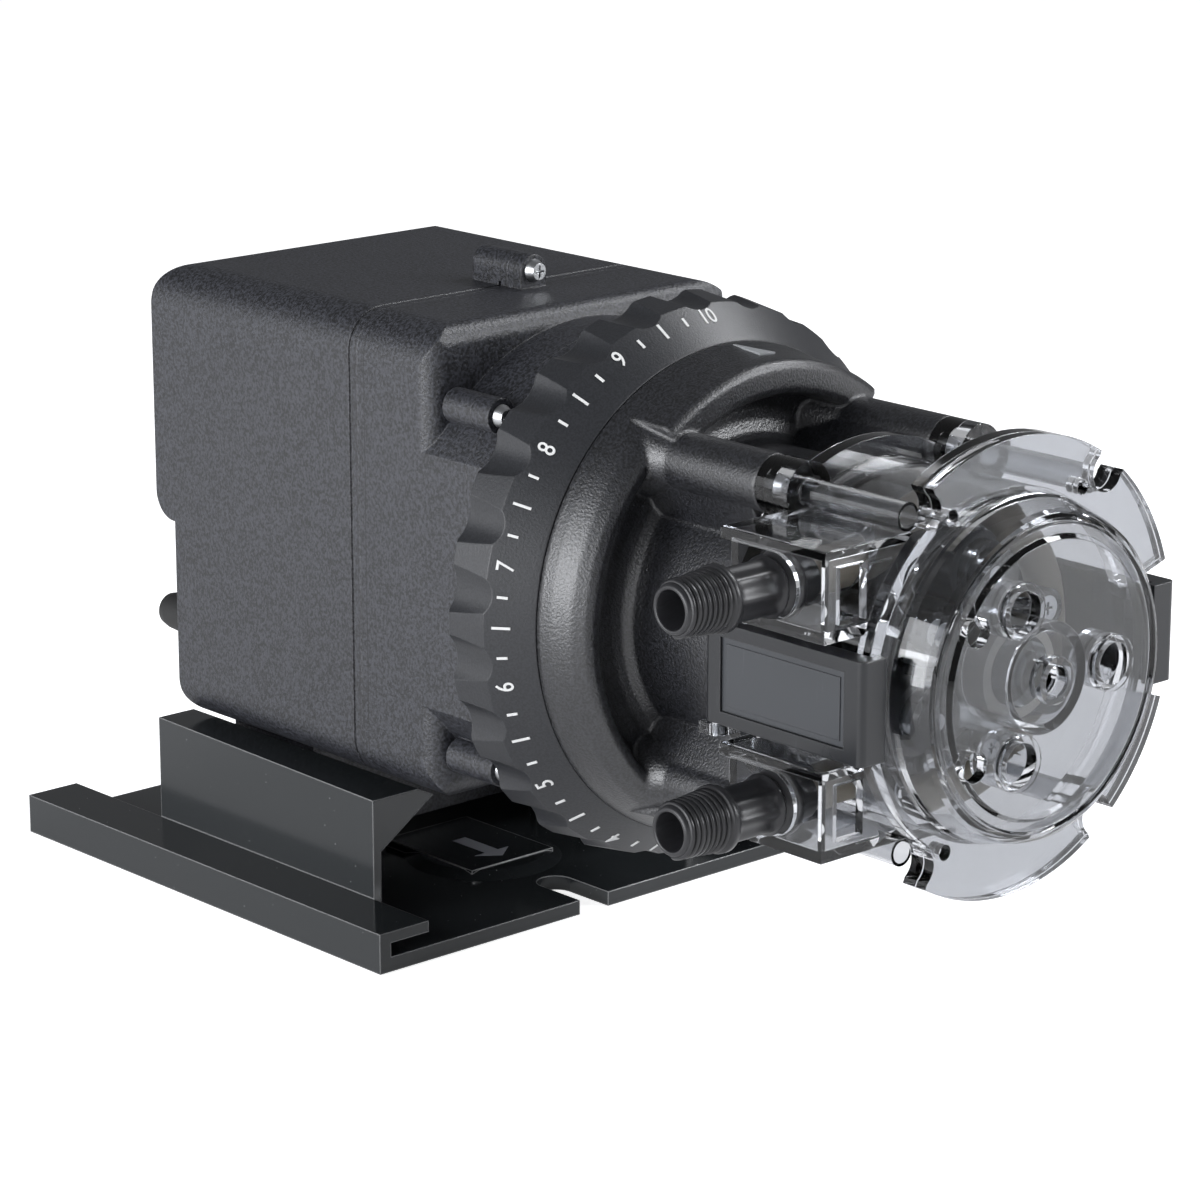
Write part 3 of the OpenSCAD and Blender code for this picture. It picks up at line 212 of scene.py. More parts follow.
# %% [markdown]
# Nearly every surface here is moulded plastic, and what tells one moulding from another is
# its skin: the grain that the tool leaves, the gloss, and how pale its corners are.
# One recipe covers them. Noise in object space gives the grain as a bump, a slower noise
# shifts the gloss, and the bevel node rounds the corners in shading and finds them. There the
# colour is made paler in patches: partly wear, partly a painted highlight along the edges.

# %% Moulded plastic
GRAIN_RELIEF_MM = 0.16
GRAIN_LOW, GRAIN_HIGH = 0.40, 0.60
GLOSS_SPREAD = 0.06
SCRATCH_GREY = (0.16, 0.17, 0.18, 1)
SPECK_GREY = (0.34, 0.35, 0.36, 1)


def new_material(name):
    material = bpy.data.materials.new(name)
    material.use_nodes = True
    tree = material.node_tree
    tree.nodes.clear()
    skin = add_node(tree, "ShaderNodeBsdfPrincipled")
    out = add_node(tree, "ShaderNodeOutputMaterial")
    tree.links.new(skin.outputs[0], out.inputs[0])
    return material, tree, skin


def moulded(name, color, roughness, grain_mm=0.7, grain_depth=0.35, edge_mm=0.5, wear_and_highlight=0.25,
            scratches=0.0, specks=0.0, specular=0.5, fleck=0.0, seam_lines=()):
    material, tree, skin = new_material(name)
    place = add_node(tree, "ShaderNodeTexCoord").outputs["Object"]
    grain = add_node(tree, "ShaderNodeTexNoise", Vector=place, Scale=1 / (grain_mm * MM), Detail=3.0)
    cloud = add_node(tree, "ShaderNodeTexNoise", Vector=place, Scale=28.0, Detail=4.0)
    rounded = add_node(tree, "ShaderNodeBevel", {"samples": 6}, Radius=edge_mm * MM)
    bump = add_node(tree, "ShaderNodeBump", Strength=grain_depth, Distance=GRAIN_RELIEF_MM * MM,
                    Height=grain.outputs["Fac"], Normal=rounded.outputs["Normal"])
    flat = add_node(tree, "ShaderNodeNewGeometry").outputs["Normal"]
    turn = add_node(tree, "ShaderNodeVectorMath", {"operation": "DOT_PRODUCT"},
                    i0=rounded.outputs["Normal"], i1=flat)
    # Paler corners where the bevel finds an edge: partly wear, partly a painted highlight.
    edge = ramp(tree, turn.outputs["Value"], 0.80, 0.97, (1, 1, 1, 1), (0, 0, 0, 1))
    patchy = add_node(tree, "ShaderNodeMath", {"operation": "MULTIPLY"}, i0=edge, i1=cloud.outputs["Fac"])
    pale_edge_amount = add_node(tree, "ShaderNodeMath", {"operation": "MULTIPLY"}, i0=patchy.outputs[0], i1=wear_and_highlight)
    pale = tuple(0.10 + 0.07 * wear_and_highlight + 0.75 * c for c in color[:3]) + (1,)
    tint = add_node(tree, "ShaderNodeMix", {"data_type": "RGBA"})
    tint.inputs[6].default_value = (*color[:3], 1)
    tint.inputs[7].default_value = pale
    tree.links.new(pale_edge_amount.outputs[0], tint.inputs[0])
    last = tint.outputs[2]
    if fleck:
        shade = add_node(tree, "ShaderNodeMapRange", Value=grain.outputs["Fac"])
        shade.inputs["From Min"].default_value = GRAIN_LOW
        shade.inputs["From Max"].default_value = GRAIN_HIGH
        shade.inputs["To Min"].default_value = 1 - fleck
        shade.inputs["To Max"].default_value = 1 + fleck
        last = add_node(tree, "ShaderNodeVectorMath", {"operation": "SCALE"}, i0=last,
                        Scale=shade.outputs[0]).outputs[0]
    depth = add_node(tree, "ShaderNodeSeparateXYZ", Vector=place).outputs["Y"]
    for line_y, half_width in seam_lines:
        line = add_node(tree, "ShaderNodeMath", {"operation": "COMPARE"}, i0=depth, i1=line_y * MM,
                        i2=half_width * MM)
        mix = add_node(tree, "ShaderNodeMix", {"data_type": "RGBA"})
        tree.links.new(line.outputs[0], mix.inputs[0])
        tree.links.new(last, mix.inputs[6])
        mix.inputs[7].default_value = (color[0] * 0.2, color[1] * 0.2, color[2] * 0.2, 1)
        last = mix.outputs[2]
    if scratches:
        lines = add_node(tree, "ShaderNodeMapping", Vector=place, Scale=(34.0, 900.0, 60.0),
                         Rotation=(0.0, 0.0, 0.45))
        streak = add_node(tree, "ShaderNodeTexNoise", Vector=lines.outputs[0], Scale=1.0, Detail=5.0)
        mask = ramp(tree, streak.outputs["Fac"], 0.64, 0.72)
        amount = add_node(tree, "ShaderNodeMath", {"operation": "MULTIPLY"}, i0=mask, i1=scratches)
        mix = add_node(tree, "ShaderNodeMix", {"data_type": "RGBA"})
        tree.links.new(amount.outputs[0], mix.inputs[0])
        tree.links.new(last, mix.inputs[6])
        mix.inputs[7].default_value = SCRATCH_GREY
        last = mix.outputs[2]
    if specks:
        dots = add_node(tree, "ShaderNodeTexVoronoi", Vector=place, Scale=520.0)
        mask = ramp(tree, dots.outputs["Distance"], 0.045, 0.075, (1, 1, 1, 1), (0, 0, 0, 1))
        rare = ramp(tree, dots.outputs["Color"], 0.70, 0.72)
        both = add_node(tree, "ShaderNodeMath", {"operation": "MULTIPLY"}, i0=mask, i1=rare)
        amount = add_node(tree, "ShaderNodeMath", {"operation": "MULTIPLY"}, i0=both.outputs[0], i1=specks)
        mix = add_node(tree, "ShaderNodeMix", {"data_type": "RGBA"})
        tree.links.new(amount.outputs[0], mix.inputs[0])
        tree.links.new(last, mix.inputs[6])
        mix.inputs[7].default_value = SPECK_GREY
        last = mix.outputs[2]
    gloss = add_node(tree, "ShaderNodeMapRange", Value=cloud.outputs["Fac"])
    gloss.inputs["To Min"].default_value = roughness - GLOSS_SPREAD
    gloss.inputs["To Max"].default_value = roughness + GLOSS_SPREAD
    tree.links.new(last, skin.inputs["Base Color"])
    tree.links.new(gloss.outputs[0], skin.inputs["Roughness"])
    tree.links.new(bump.outputs[0], skin.inputs["Normal"])
    skin.inputs["Specular IOR Level"].default_value = specular
    return material


housing_tone = (0.0225, 0.0235, 0.0285)
housing_skin = moulded("housing_charcoal_grain", housing_tone, 0.44, 0.70, 1.0, 0.6, 0.5,
                       specular=0.6, fleck=0.7)
SEAM_LINES_MM = ((-44.3, 0.14), (-39.4, 0.10), (-41.2, 0.08))
seam_skin = moulded("housing_charcoal_seam", housing_tone, 0.44, 0.70, 1.0, 0.6, 0.5,
                    specular=0.6, fleck=0.7, seam_lines=SEAM_LINES_MM)
head_skin = moulded("front_housing_black_grain", (0.0125, 0.013, 0.0155), 0.33, 0.60, 0.85, 1.6, 0.4,
                    specular=0.9, fleck=0.7)
dial_skin = moulded("dial_black_satin", (0.021, 0.022, 0.025), 0.40, 0.5, 0.35, 0.5, 0.6, fleck=0.2)
# The bracket's edges are painted pale: mostly a painted highlight on the glossy edges, with a little wear.
bracket_skin = moulded("bracket_black_gloss", (0.0185, 0.0210, 0.0225), 0.16, 2.5, 0.02, 0.55, 3.0,
                       specks=0.9)
latch_skin = moulded("latch_black_satin", (0.013, 0.014, 0.016), 0.30, 0.9, 0.06, 0.5, 0.7,
                     scratches=0.1)
panel_skin = moulded("latch_panel_grey", (0.035, 0.038, 0.043), 0.36, 1.2, 0.05, 0.3, 0.5,
                     scratches=0.2)
fitting_skin = moulded("fitting_black_smooth", (0.016, 0.016, 0.018), 0.36, 0.9, 0.05, 0.2, 0.3)
gland_skin = moulded("gland_black_rubber", (0.014, 0.014, 0.014), 0.62, 0.6, 0.25, 0.4, 0.2)
roller_skin = moulded("roller_dark_grey", (0.045, 0.047, 0.052), 0.36, 0.8, 0.06, 0.3, 0.3)
gear_skin = moulded("gear_natural_acetal", (0.62, 0.58, 0.48), 0.4, 0.8, 0.05, 0.15, 0.1)
bush_skin = moulded("bearing_off_white", (0.66, 0.64, 0.58), 0.4, 0.8, 0.05, 0.2, 0.1)
tube_skin = moulded("pump_tube_tan", (0.30, 0.27, 0.22), 0.5, 0.8, 0.08, 0.2, 0.0)
print("moulded finishes", len(bpy.data.materials))


# %% [markdown]
# The tube housing and the cover are clear, smoke-tinted polycarbonate. Light should bend
# through them, so they use real transmission with the index of that plastic and a grey tint.
# A faint ripple keeps the reflections from looking like perfect glass.

# %% Clear smoke plastic
def clear_plastic(name, tint, roughness, ripple):
    material, tree, skin = new_material(name)
    place = add_node(tree, "ShaderNodeTexCoord").outputs["Object"]
    wave = add_node(tree, "ShaderNodeTexNoise", Vector=place, Scale=90.0, Detail=2.0)
    rounded = add_node(tree, "ShaderNodeBevel", {"samples": 4}, Radius=0.3 * MM)
    bump = add_node(tree, "ShaderNodeBump", Strength=ripple, Distance=0.3 * MM,
                    Height=wave.outputs["Fac"], Normal=rounded.outputs["Normal"])
    tone = ramp(tree, wave.outputs["Fac"], 0.3, 0.7, (*[c * 0.97 for c in tint], 1), (*tint, 1))
    tree.links.new(tone, skin.inputs["Base Color"])
    tree.links.new(bump.outputs[0], skin.inputs["Normal"])
    skin.inputs["Roughness"].default_value = roughness
    skin.inputs["Transmission Weight"].default_value = 1.0
    skin.inputs["IOR"].default_value = 1.5
    return material


clear_skin = clear_plastic("clear_smoke_polycarbonate", (0.62, 0.63, 0.65), 0.03, 0.10)
cover_clear_skin = clear_plastic("cover_clear_polycarbonate", (0.60, 0.61, 0.63), 0.02, 0.08)
smoke_skin = clear_plastic("smoky_rotor_plate", (0.34, 0.355, 0.37), 0.10, 0.15)
print("clear finishes made")


# %% [markdown]
# Screws, pins and the shaft are plated steel. Turned steel has fine rings or streaks, so the
# roughness is broken by a stretched noise. Sheet and laminated parts share the recipe.

# %% Metal
def metal(name, color, roughness, streak_mm=0.4, polish=0.08):
    material, tree, skin = new_material(name)
    place = add_node(tree, "ShaderNodeTexCoord").outputs["Object"]
    lines = add_node(tree, "ShaderNodeMapping", Vector=place, Scale=(1.0, 6.0, 1.0))
    streak = add_node(tree, "ShaderNodeTexNoise", Vector=lines.outputs[0], Scale=1 / (streak_mm * MM),
                      Detail=2.0)
    spread = add_node(tree, "ShaderNodeMapRange", Value=streak.outputs["Fac"])
    spread.inputs["To Min"].default_value = roughness - polish
    spread.inputs["To Max"].default_value = roughness + polish
    tone = ramp(tree, streak.outputs["Fac"], 0.3, 0.75, (*[c * 0.8 for c in color], 1), (*color, 1))
    rounded = add_node(tree, "ShaderNodeBevel", {"samples": 4}, Radius=0.2 * MM)
    bump = add_node(tree, "ShaderNodeBump", Strength=0.1, Distance=0.05 * MM,
                    Height=streak.outputs["Fac"], Normal=rounded.outputs["Normal"])
    tree.links.new(tone, skin.inputs["Base Color"])
    tree.links.new(spread.outputs[0], skin.inputs["Roughness"])
    tree.links.new(bump.outputs[0], skin.inputs["Normal"])
    skin.inputs["Metallic"].default_value = 1.0
    return material


steel_skin = metal("screw_plated_steel", (0.58, 0.59, 0.60), 0.34)
lamination_skin = metal("stator_lamination_steel", (0.38, 0.39, 0.41), 0.45, 0.5)
sheet_skin = metal("gear_plate_sheet", (0.62, 0.63, 0.65), 0.35, 0.8)
copper_skin = metal("winding_copper", (0.70, 0.36, 0.18), 0.4, 0.35)
print("metal finishes made")


# %% [markdown]
# Each CAD piece keeps its shape and gets its finish by name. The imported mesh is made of
# separate triangles, so its own normals stay as they are.

# %% Dress the CAD pieces
FINISH = {
    "mounting_bracket": bracket_skin,
    "rear_housing": seam_skin, "slide_foot": housing_skin, "gear_case": seam_skin,
    "index_case": housing_skin, "outer_housing": head_skin,
    "dial_ring": dial_skin, "variable_cam": gear_skin,
    "cord_gland": gland_skin, "shaft_seal": gland_skin,
    "foot_screws": steel_skin, "case_screw": steel_skin, "plate_screws": steel_skin,
    "lug_screws": steel_skin, "hub_screws": steel_skin, "tube_screws": steel_skin,
    "roller_screws": steel_skin, "roller_pins": steel_skin, "latch_pins": steel_skin,
    "motor_bolts": steel_skin, "main_shaft": steel_skin, "rotor_shaft": steel_skin,
    "idler_post": steel_skin,
    "motor_stator": lamination_skin, "motor_rotor": lamination_skin, "motor_coil": copper_skin,
    "gear_plate": sheet_skin, "motor_bridges": sheet_skin, "motor_fan": roller_skin,
    "idler_gear": gear_skin, "main_gear": gear_skin, "shaft_bearings": bush_skin,
    "cover_bush": bush_skin,
    "tube_housing": clear_skin, "cover": cover_clear_skin,
    "rear_roller_plate": smoke_skin, "front_roller_plate": smoke_skin,
    "roller_1": roller_skin, "roller_2": roller_skin, "roller_3": roller_skin,
    "pump_tube": tube_skin, "tube_ferrules": fitting_skin,
    "suction_fitting": fitting_skin, "discharge_fitting": fitting_skin,
    "left_latch": latch_skin, "right_latch": latch_skin,
}
for node_name, node_object in nodes.items():
    node_object.data.materials.clear()
    node_object.data.materials.append(FINISH[node_name])
print("dressed", len(nodes), "CAD pieces")


# %% [markdown]
# The scale on the dial is moulded proud and printed white: a number for each of ten steps,
# and three ticks between two numbers, the middle one long. The ticks follow a rule, so
# Geometry Nodes set them out: a row of points, each turned and moved to its own angle.

# %% Dial scale, the ticks
BAND_UP = Vector((0, 8.1, 6.9)).normalized()
BAND_OUT = Vector((1, 0, 0)).cross(BAND_UP)
SCALE_SHARE = 0.62
TOP_DEG = 90
STEP_DEG = 25.5


def on_band(length_along):
    """Radius and y of a place on the band, from its front edge."""
    return (59.1 + 6.9 * length_along) * MM, DIAL_SEAM_Y + (0.9 + 8.1 * length_along) * MM


print_white = moulded("scale_print_white", (0.74, 0.74, 0.73), 0.5, 0.5, 0.1, 0.1, 0.0)


def tick_tree(material):
    tree = bpy.data.node_groups.new("dial_ticks", "GeometryNodeTree")
    face = tree.interface
    for name, kind, value in (("Count", "NodeSocketInt", 9), ("First angle", "NodeSocketFloat", 0.0),
                              ("Step angle", "NodeSocketFloat", 0.1), ("Radius", "NodeSocketFloat", 0.06),
                              ("Depth", "NodeSocketFloat", 0.0), ("Size", "NodeSocketVector", (0, 0, 0))):
        socket = face.new_socket(name, in_out="INPUT", socket_type=kind)
        socket.default_value = value
    face.new_socket("Geometry", in_out="OUTPUT", socket_type="NodeSocketGeometry")
    given = add_node(tree, "NodeGroupInput").outputs
    row = add_node(tree, "GeometryNodeMeshLine", Count=given["Count"], Offset=(0, 0, 0))
    index = add_node(tree, "GeometryNodeInputIndex").outputs[0]
    swept = add_node(tree, "ShaderNodeMath", {"operation": "MULTIPLY_ADD"},
                     i0=index, i1=given["Step angle"], i2=given["First angle"]).outputs[0]
    across = add_node(tree, "ShaderNodeMath", {"operation": "COSINE"}, i0=swept).outputs[0]
    up = add_node(tree, "ShaderNodeMath", {"operation": "SINE"}, i0=swept).outputs[0]
    ring = add_node(tree, "ShaderNodeCombineXYZ", X=across, Z=up).outputs[0]
    out_far = add_node(tree, "ShaderNodeVectorMath", {"operation": "SCALE"}, i0=ring, Scale=given["Radius"])
    centre = add_node(tree, "ShaderNodeCombineXYZ", Y=given["Depth"], Z=PUMP_AXIS_Z).outputs[0]
    spot = add_node(tree, "ShaderNodeVectorMath", {"operation": "ADD"}, i0=out_far.outputs[0], i1=centre)
    placed = add_node(tree, "GeometryNodeSetPosition", Geometry=row.outputs[0], Position=spot.outputs[0])
    bar = add_node(tree, "GeometryNodeMeshCube", Size=given["Size"])
    tilt = add_node(tree, "GeometryNodeTransform", Geometry=bar.outputs[0],
                    Rotation=(-math.atan2(BAND_UP.y, BAND_UP.z), 0, 0))
    lean = add_node(tree, "ShaderNodeMath", {"operation": "SUBTRACT"}, i0=math.pi / 2, i1=swept)
    turn = add_node(tree, "ShaderNodeCombineXYZ", Y=lean.outputs[0])
    spread = add_node(tree, "GeometryNodeInstanceOnPoints", Points=placed.outputs[0],
                      Instance=tilt.outputs[0], Rotation=turn.outputs[0])
    solid = add_node(tree, "GeometryNodeRealizeInstances", Geometry=spread.outputs[0])
    dressed = add_node(tree, "GeometryNodeSetMaterial", Geometry=solid.outputs[0], Material=material)
    out = add_node(tree, "NodeGroupOutput")
    tree.links.new(dressed.outputs[0], out.inputs[0])
    return tree


def run_tree(name, tree, values, base=None):
    """Runs a node tree on an object and keeps the result as a plain mesh."""
    holder = bpy.data.objects.new(name + "_maker", base or bpy.data.meshes.new(name + "_maker"))
    bpy.context.scene.collection.objects.link(holder)
    maker = holder.modifiers.new("maker", "NODES")
    maker.node_group = tree
    keys = {item.name: item.identifier for item in tree.interface.items_tree
            if item.item_type == "SOCKET" and item.in_out == "INPUT"}
    for key, value in values.items():
        maker[keys[key]] = value
    evaluated = holder.evaluated_get(bpy.context.evaluated_depsgraph_get())
    mesh = bpy.data.meshes.new_from_object(evaluated)
    bpy.data.objects.remove(holder)
    mesh.name = name
    piece = bpy.data.objects.new(name, mesh)
    bpy.context.scene.collection.objects.link(piece)
    return piece


ticks = tick_tree(print_white)
tick_radius, tick_y = on_band(SCALE_SHARE)
for tick_name, count, first, step, length in (
        ("dial_ticks_short", 18, 0.25, 0.5, 2.5), ("dial_ticks_long", 9, 0.5, 1.0, 4.3)):
    piece = run_tree(tick_name, ticks, {
        "Count": count, "First angle": math.radians(TOP_DEG + first * STEP_DEG),
        "Step angle": math.radians(step * STEP_DEG), "Radius": tick_radius, "Depth": tick_y,
        "Size": (0.62 * MM, 0.34 * MM, length * MM)})
    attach(piece, "dial")
    print(piece.name, len(piece.data.polygons), "faces")


# %% [markdown]
# The numbers are text objects in Blender's own font, turned into a mesh before they are laid
# on the band. Ten stands at the top when the dial is at its highest setting, and the others
# follow to the left, each upright from the rim.

# %% Dial scale, the numbers
CAPITAL_SHARE = 0.70
NUMBER_HEIGHT_MM = 4.2
NUMBER_NARROWING = 0.82


def flat_text(word, height):
    data = bpy.data.curves.new("word", "FONT")
    data.body = word
    data.size = height / CAPITAL_SHARE
    data.extrude = 0.16 * MM
    data.offset = 0.03 * MM
    data.align_x = "CENTER"
    data.align_y = "CENTER"
    data.resolution_u = 4
    holder = bpy.data.objects.new("word", data)
    bpy.context.scene.collection.objects.link(holder)
    mesh = bpy.data.meshes.new_from_object(holder.evaluated_get(bpy.context.evaluated_depsgraph_get()))
    bpy.data.objects.remove(holder)
    return mesh


def band_place(angle_deg, share):
    radius, y = on_band(share)
    angle = math.radians(angle_deg)
    spin = Matrix.Rotation(math.pi / 2 - angle, 4, "Y")
    axes = Matrix((Vector((1, 0, 0)), BAND_UP, BAND_OUT)).transposed().to_4x4()
    move = Matrix.Translation((radius * math.cos(angle), y, PUMP_AXIS_Z + radius * math.sin(angle)))
    return move @ spin @ axes


numbers = bmesh.new()
for value in range(10, 0, -1):
    word = flat_text(str(value), NUMBER_HEIGHT_MM * MM)
    word.transform(Matrix.Diagonal((NUMBER_NARROWING, 1, 1, 1)))
    word.transform(band_place(TOP_DEG + (10 - value) * STEP_DEG, SCALE_SHARE))
    numbers.from_mesh(word)
number_mesh = bpy.data.meshes.new("dial_numbers")
numbers.to_mesh(number_mesh)
numbers.free()
number_mesh.materials.append(print_white)
dial_numbers = bpy.data.objects.new("dial_numbers", number_mesh)
bpy.context.scene.collection.objects.link(dial_numbers)
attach(dial_numbers, "dial")
print("dial numbers", len(number_mesh.polygons), "faces")


# %% [markdown]
# The grey pointer on the outer housing is a thin triangle that lies on top of the front
# ring and points back at the setting. It is a thin plate whose corners follow the ring.

# %% Pointer
pointer_grey = moulded("pointer_grey", (0.30, 0.31, 0.32), 0.5, 0.6, 0.1, 0.1, 0.0)


def head_point(radius_mm, angle_deg, s_mm):
    angle = math.radians(angle_deg)
    return Vector((radius_mm * MM * math.cos(angle), DIAL_SEAM_Y - s_mm * MM,
                   PUMP_AXIS_Z + radius_mm * MM * math.sin(angle)))


def thin_plate(name, outline, normal, thickness):
    mesh_maker = bmesh.new()
    back = [mesh_maker.verts.new(p - normal * thickness) for p in outline]
    front = [mesh_maker.verts.new(p + normal * thickness) for p in outline]
    mesh_maker.faces.new(front)
    mesh_maker.faces.new(list(reversed(back)))
    for k in range(len(outline)):
        nxt = (k + 1) % len(outline)
        mesh_maker.faces.new((back[k], back[nxt], front[nxt], front[k]))
    bmesh.ops.recalc_face_normals(mesh_maker, faces=mesh_maker.faces)
    mesh = bpy.data.meshes.new(name)
    mesh_maker.to_mesh(mesh)
    mesh_maker.free()
    made = bpy.data.objects.new(name, mesh)
    bpy.context.scene.collection.objects.link(made)
    return made


CRESCENT_UP = Vector((0, -0.125, 0.99)).normalized()
pointer = thin_plate("dial_pointer", [
    head_point(57.85, 89.0, 1.5), head_point(56.9, 88.6, 10.0), head_point(56.9, 83.8, 10.2)],
    CRESCENT_UP, 0.25 * MM)
pointer.data.materials.append(pointer_grey)
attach(pointer, "pump")
print("pointer", len(pointer.data.polygons), "faces")


# %% [markdown]
# Three kinds of small flat mark are left: the arrow on the bracket's pad, the flow arrows on
# the clear fitting holders, and the smooth panels let into the latches. All are thin plates
# like the pointer, laid just proud of what carries them.

# %% Arrows and latch panels
def flat_mark(name, corners_mm, normal, thickness_mm, material, body):
    corners = [Vector(corner) * MM for corner in corners_mm]
    mark = thin_plate(name, corners, Vector(normal), thickness_mm * MM)
    mark.data.materials.append(material)
    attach(mark, body)
    print(mark.name, len(mark.data.polygons), "faces")
    return mark


arrow_print = moulded("arrow_print_grey", (0.32, 0.33, 0.36), 0.5, 0.8, 0.1, 0.1, 0.0)
PAD_TOP_MM = 5.6
arrow_outline = ((-2.1, -20.5), (2.1, -20.5), (2.1, -33.3), (5.6, -33.3), (0, -37.6), (-5.6, -33.3),
                 (-2.1, -33.3))
flat_mark("bracket_arrow", [(x, y, PAD_TOP_MM) for x, y in arrow_outline], (0, 0, 1), 0.06,
          arrow_print, "bracket")

frosted_skin = clear_plastic("moulded_mark_frosted", (0.50, 0.51, 0.53), 0.35, 0.3)


def flow_arrow(name, tail_x, tip_x, z_mm, y_mm):
    aim = 1 if tip_x > tail_x else -1
    back = tip_x - aim * 2.2
    half = 0.16
    corners = [(tail_x, half), (back, half), (back - aim * 0.4, 1.5), (tip_x, 0),
               (back - aim * 0.4, -1.5), (back, -half), (tail_x, -half)]
    flat_mark(name, [(x, y_mm, z_mm + up) for x, up in corners], (0, -1, 0), 0.08, frosted_skin, "pump")


PORT_RISE_MM = 24.2
HOLDER_FRONT_MM = -202.75
for arrow_name, tail_x, tip_x, height in (("flow_arrow_out", -33, -42.5, PORT_RISE_MM + 5.5),
                                          ("flow_arrow_in", -42.5, -33, -PORT_RISE_MM - 7.6)):
    flow_arrow(arrow_name, tail_x, tip_x, PUMP_AXIS_MM + height, HOLDER_FRONT_MM)

RECESS_FLOOR_MM = 49.3
RECESS_BACK_MM, RECESS_FRONT_MM = DIAL_SEAM_MM - 51.2, DIAL_SEAM_MM - 88.8
RECESS_HALF_MM = 8.5
for side, body in ((-1, "latch_left"), (1, "latch_right")):
    for layer, inset, proud in (("lower", 0.15, 0.0), ("upper", 1.5, 0.22)):
        x = side * RECESS_FLOOR_MM + side * proud
        back_y, front_y = RECESS_BACK_MM - inset, RECESS_FRONT_MM + inset
        low_z = PUMP_AXIS_MM - RECESS_HALF_MM + inset
        high_z = PUMP_AXIS_MM + RECESS_HALF_MM - inset
        flat_mark("latch_panel_%s_%s" % (layer, body), [
            (x, back_y, low_z), (x, front_y, low_z), (x, front_y, high_z), (x, back_y, high_z)],
            (side, 0, 0), 0.12, panel_skin, body)


# %% [markdown]
# The two fittings are turned shapes with a tapered pipe thread. The body is a lathe profile
# with a collar and eight soft flutes. The thread is a spiral with a four-sided section, made
# with Geometry Nodes and sunk a little into the body so no seam shows.

# %% Fittings
def lathe(name, profile, segments, flute=None):
    """Turns (along, radius) pairs in mm round the x axis, closed where the profile closes."""
    maker = bmesh.new()
    rings = []
    for along, radius in profile:
        ring = []
        for k in range(segments):
            angle = 2 * math.pi * k / segments
            depth = flute(along, angle) if flute else 0.0
            r = (radius - depth) * MM
            ring.append(maker.verts.new((-along * MM, r * math.cos(angle), r * math.sin(angle))))
        rings.append(ring)
    for a in range(len(rings)):
        b = (a + 1) % len(rings)
        for k in range(segments):
            n = (k + 1) % segments
            maker.faces.new((rings[a][k], rings[a][n], rings[b][n], rings[b][k]))
    bmesh.ops.recalc_face_normals(maker, faces=maker.faces)
    mesh = bpy.data.meshes.new(name)
    maker.to_mesh(mesh)
    maker.free()
    for face in mesh.polygons:
        face.use_smooth = True
    return mesh


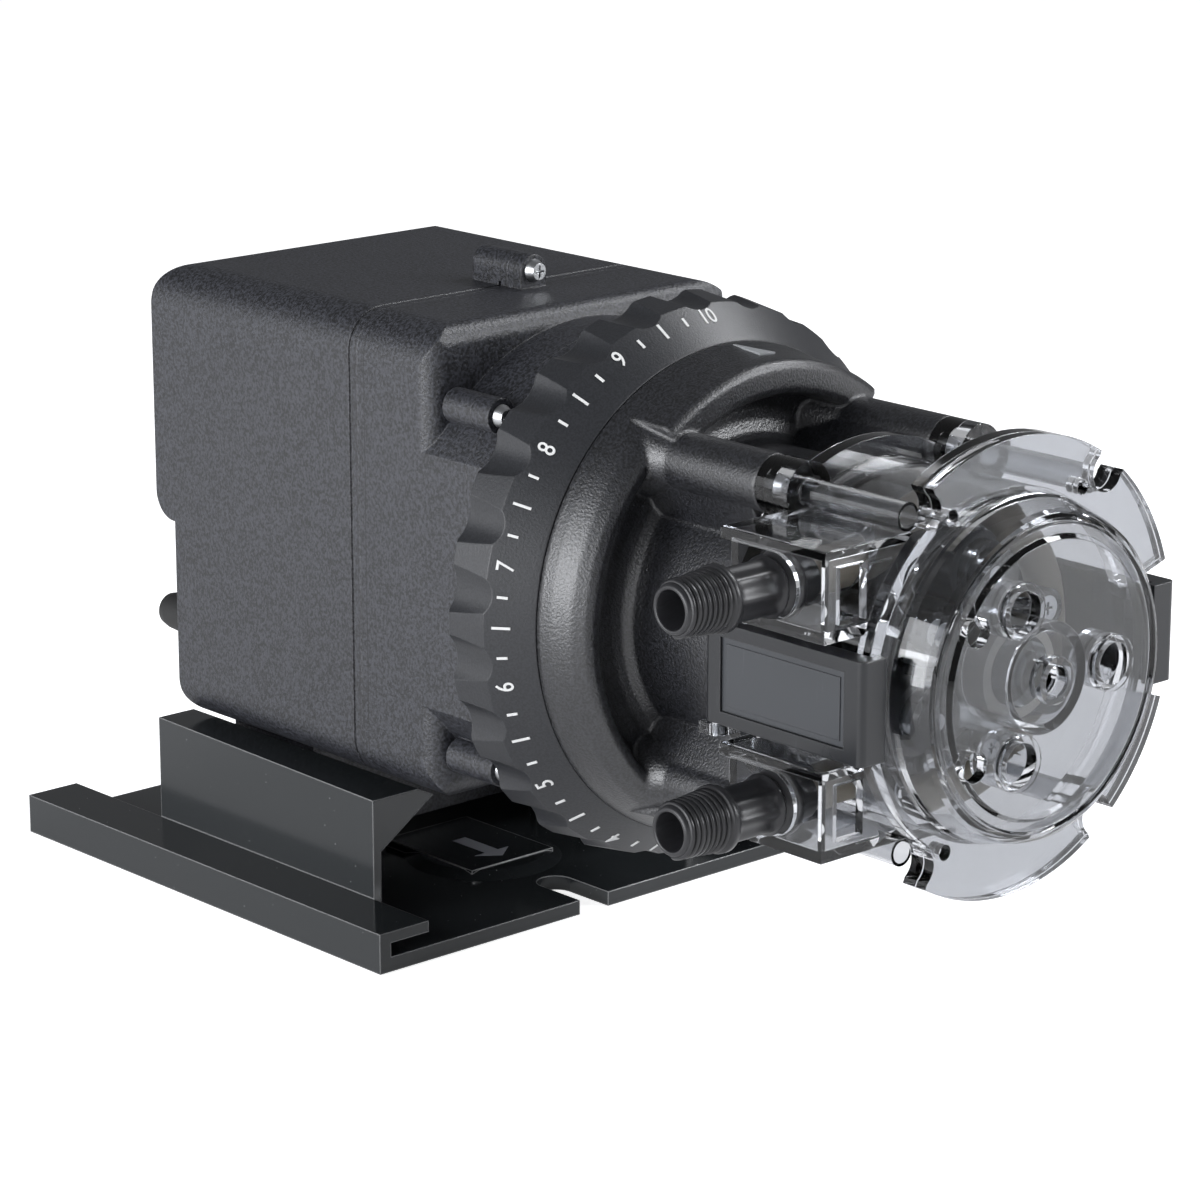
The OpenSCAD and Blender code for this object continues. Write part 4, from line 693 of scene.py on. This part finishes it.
def thread_tree(material):
    tree = bpy.data.node_groups.new("pipe_thread", "GeometryNodeTree")
    face = tree.interface
    face.new_socket("Geometry", in_out="INPUT", socket_type="NodeSocketGeometry")
    for name, value in (("Turns", 10.0), ("Tip radius", 0.006), ("Root radius", 0.007),
                        ("Length", 0.014), ("Ridge", 0.0006), ("Start", -0.08)):
        face.new_socket(name, in_out="INPUT", socket_type="NodeSocketFloat").default_value = value
    face.new_socket("Geometry", in_out="OUTPUT", socket_type="NodeSocketGeometry")
    given = add_node(tree, "NodeGroupInput").outputs
    coil = add_node(tree, "GeometryNodeCurveSpiral", Resolution=48, Rotations=given["Turns"],
                    Start_Radius=given["Tip radius"], End_Radius=given["Root radius"],
                    Height=given["Length"])
    edge = add_node(tree, "GeometryNodeCurvePrimitiveCircle", Resolution=4, Radius=given["Ridge"])
    ridge = add_node(tree, "GeometryNodeCurveToMesh", Curve=coil.outputs[0],
                     Profile_Curve=edge.outputs[0], Fill_Caps=True)
    start = add_node(tree, "ShaderNodeCombineXYZ", X=given["Start"])
    laid = add_node(tree, "GeometryNodeTransform", Geometry=ridge.outputs[0],
                    Translation=start.outputs[0], Rotation=(0, math.pi / 2, 0))
    both = add_node(tree, "GeometryNodeJoinGeometry")
    tree.links.new(laid.outputs[0], both.inputs[0])
    tree.links.new(given["Geometry"], both.inputs[0])
    solid = add_node(tree, "GeometryNodeRealizeInstances", Geometry=both.outputs[0])
    dressed = add_node(tree, "GeometryNodeSetMaterial", Geometry=solid.outputs[0], Material=material)
    out = add_node(tree, "NodeGroupOutput")
    tree.links.new(dressed.outputs[0], out.inputs[0])
    return tree


FLUTE_FROM_MM, FLUTE_TO_MM = 56.0, 68.0
FLUTE_COUNT = 8
FLUTE_DEPTH_MM = 0.60


def soft_flutes(along, angle):
    if not FLUTE_FROM_MM <= along <= FLUTE_TO_MM:
        return 0.0
    return FLUTE_DEPTH_MM * (0.5 - 0.5 * math.cos(FLUTE_COUNT * angle)) ** 0.8


FITTING_PROFILE = [(37.8, 1.5), (37.8, 2.1), (48.6, 2.38), (48.6, 7.4), (48.8, 7.6), (50.4, 7.6),
                   (50.6, 7.4), (50.7, 6.8), (53.6, 6.8), (53.8, 6.2), (54.2, 6.2), (54.4, 6.7),
                   (54.8, 6.9), (55.2, 6.8), (55.6, 6.45), (56.4, 6.4), (58.0, 6.4), (62.0, 6.4),
                   (66.0, 6.4), (67.4, 6.4), (68.2, 6.45), (68.4, 7.2), (68.7, 7.5), (69.9, 7.5),
                   (70.2, 7.3), (70.4, 6.5), (80.8, 5.75), (81.8, 5.6), (82.3, 5.3), (82.5, 4.9),
                   (82.5, 4.5), (82.2, 4.3), (60.0, 4.25), (55.0, 1.5)]
PORT_Y_MM = -187
thread = thread_tree(fitting_skin)
for fitting_name, height in (("suction_fitting", -PORT_RISE_MM), ("discharge_fitting", PORT_RISE_MM)):
    body_mesh = lathe(fitting_name + "_body", FITTING_PROFILE, 96, soft_flutes)
    fitting = run_tree(fitting_name + "_threaded", thread, {
        "Turns": 7.8, "Tip radius": 5.72 * MM, "Root radius": 6.42 * MM, "Length": 10.9 * MM,
        "Ridge": 0.66 * MM, "Start": -81.4 * MM}, body_mesh)
    fitting.data.transform(Matrix.Translation((0, PORT_Y_MM * MM, PUMP_AXIS_Z + height * MM)))
    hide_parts(fitting_name)
    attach(fitting, "pump")
    print(fitting.name, len(fitting.data.polygons), "faces")
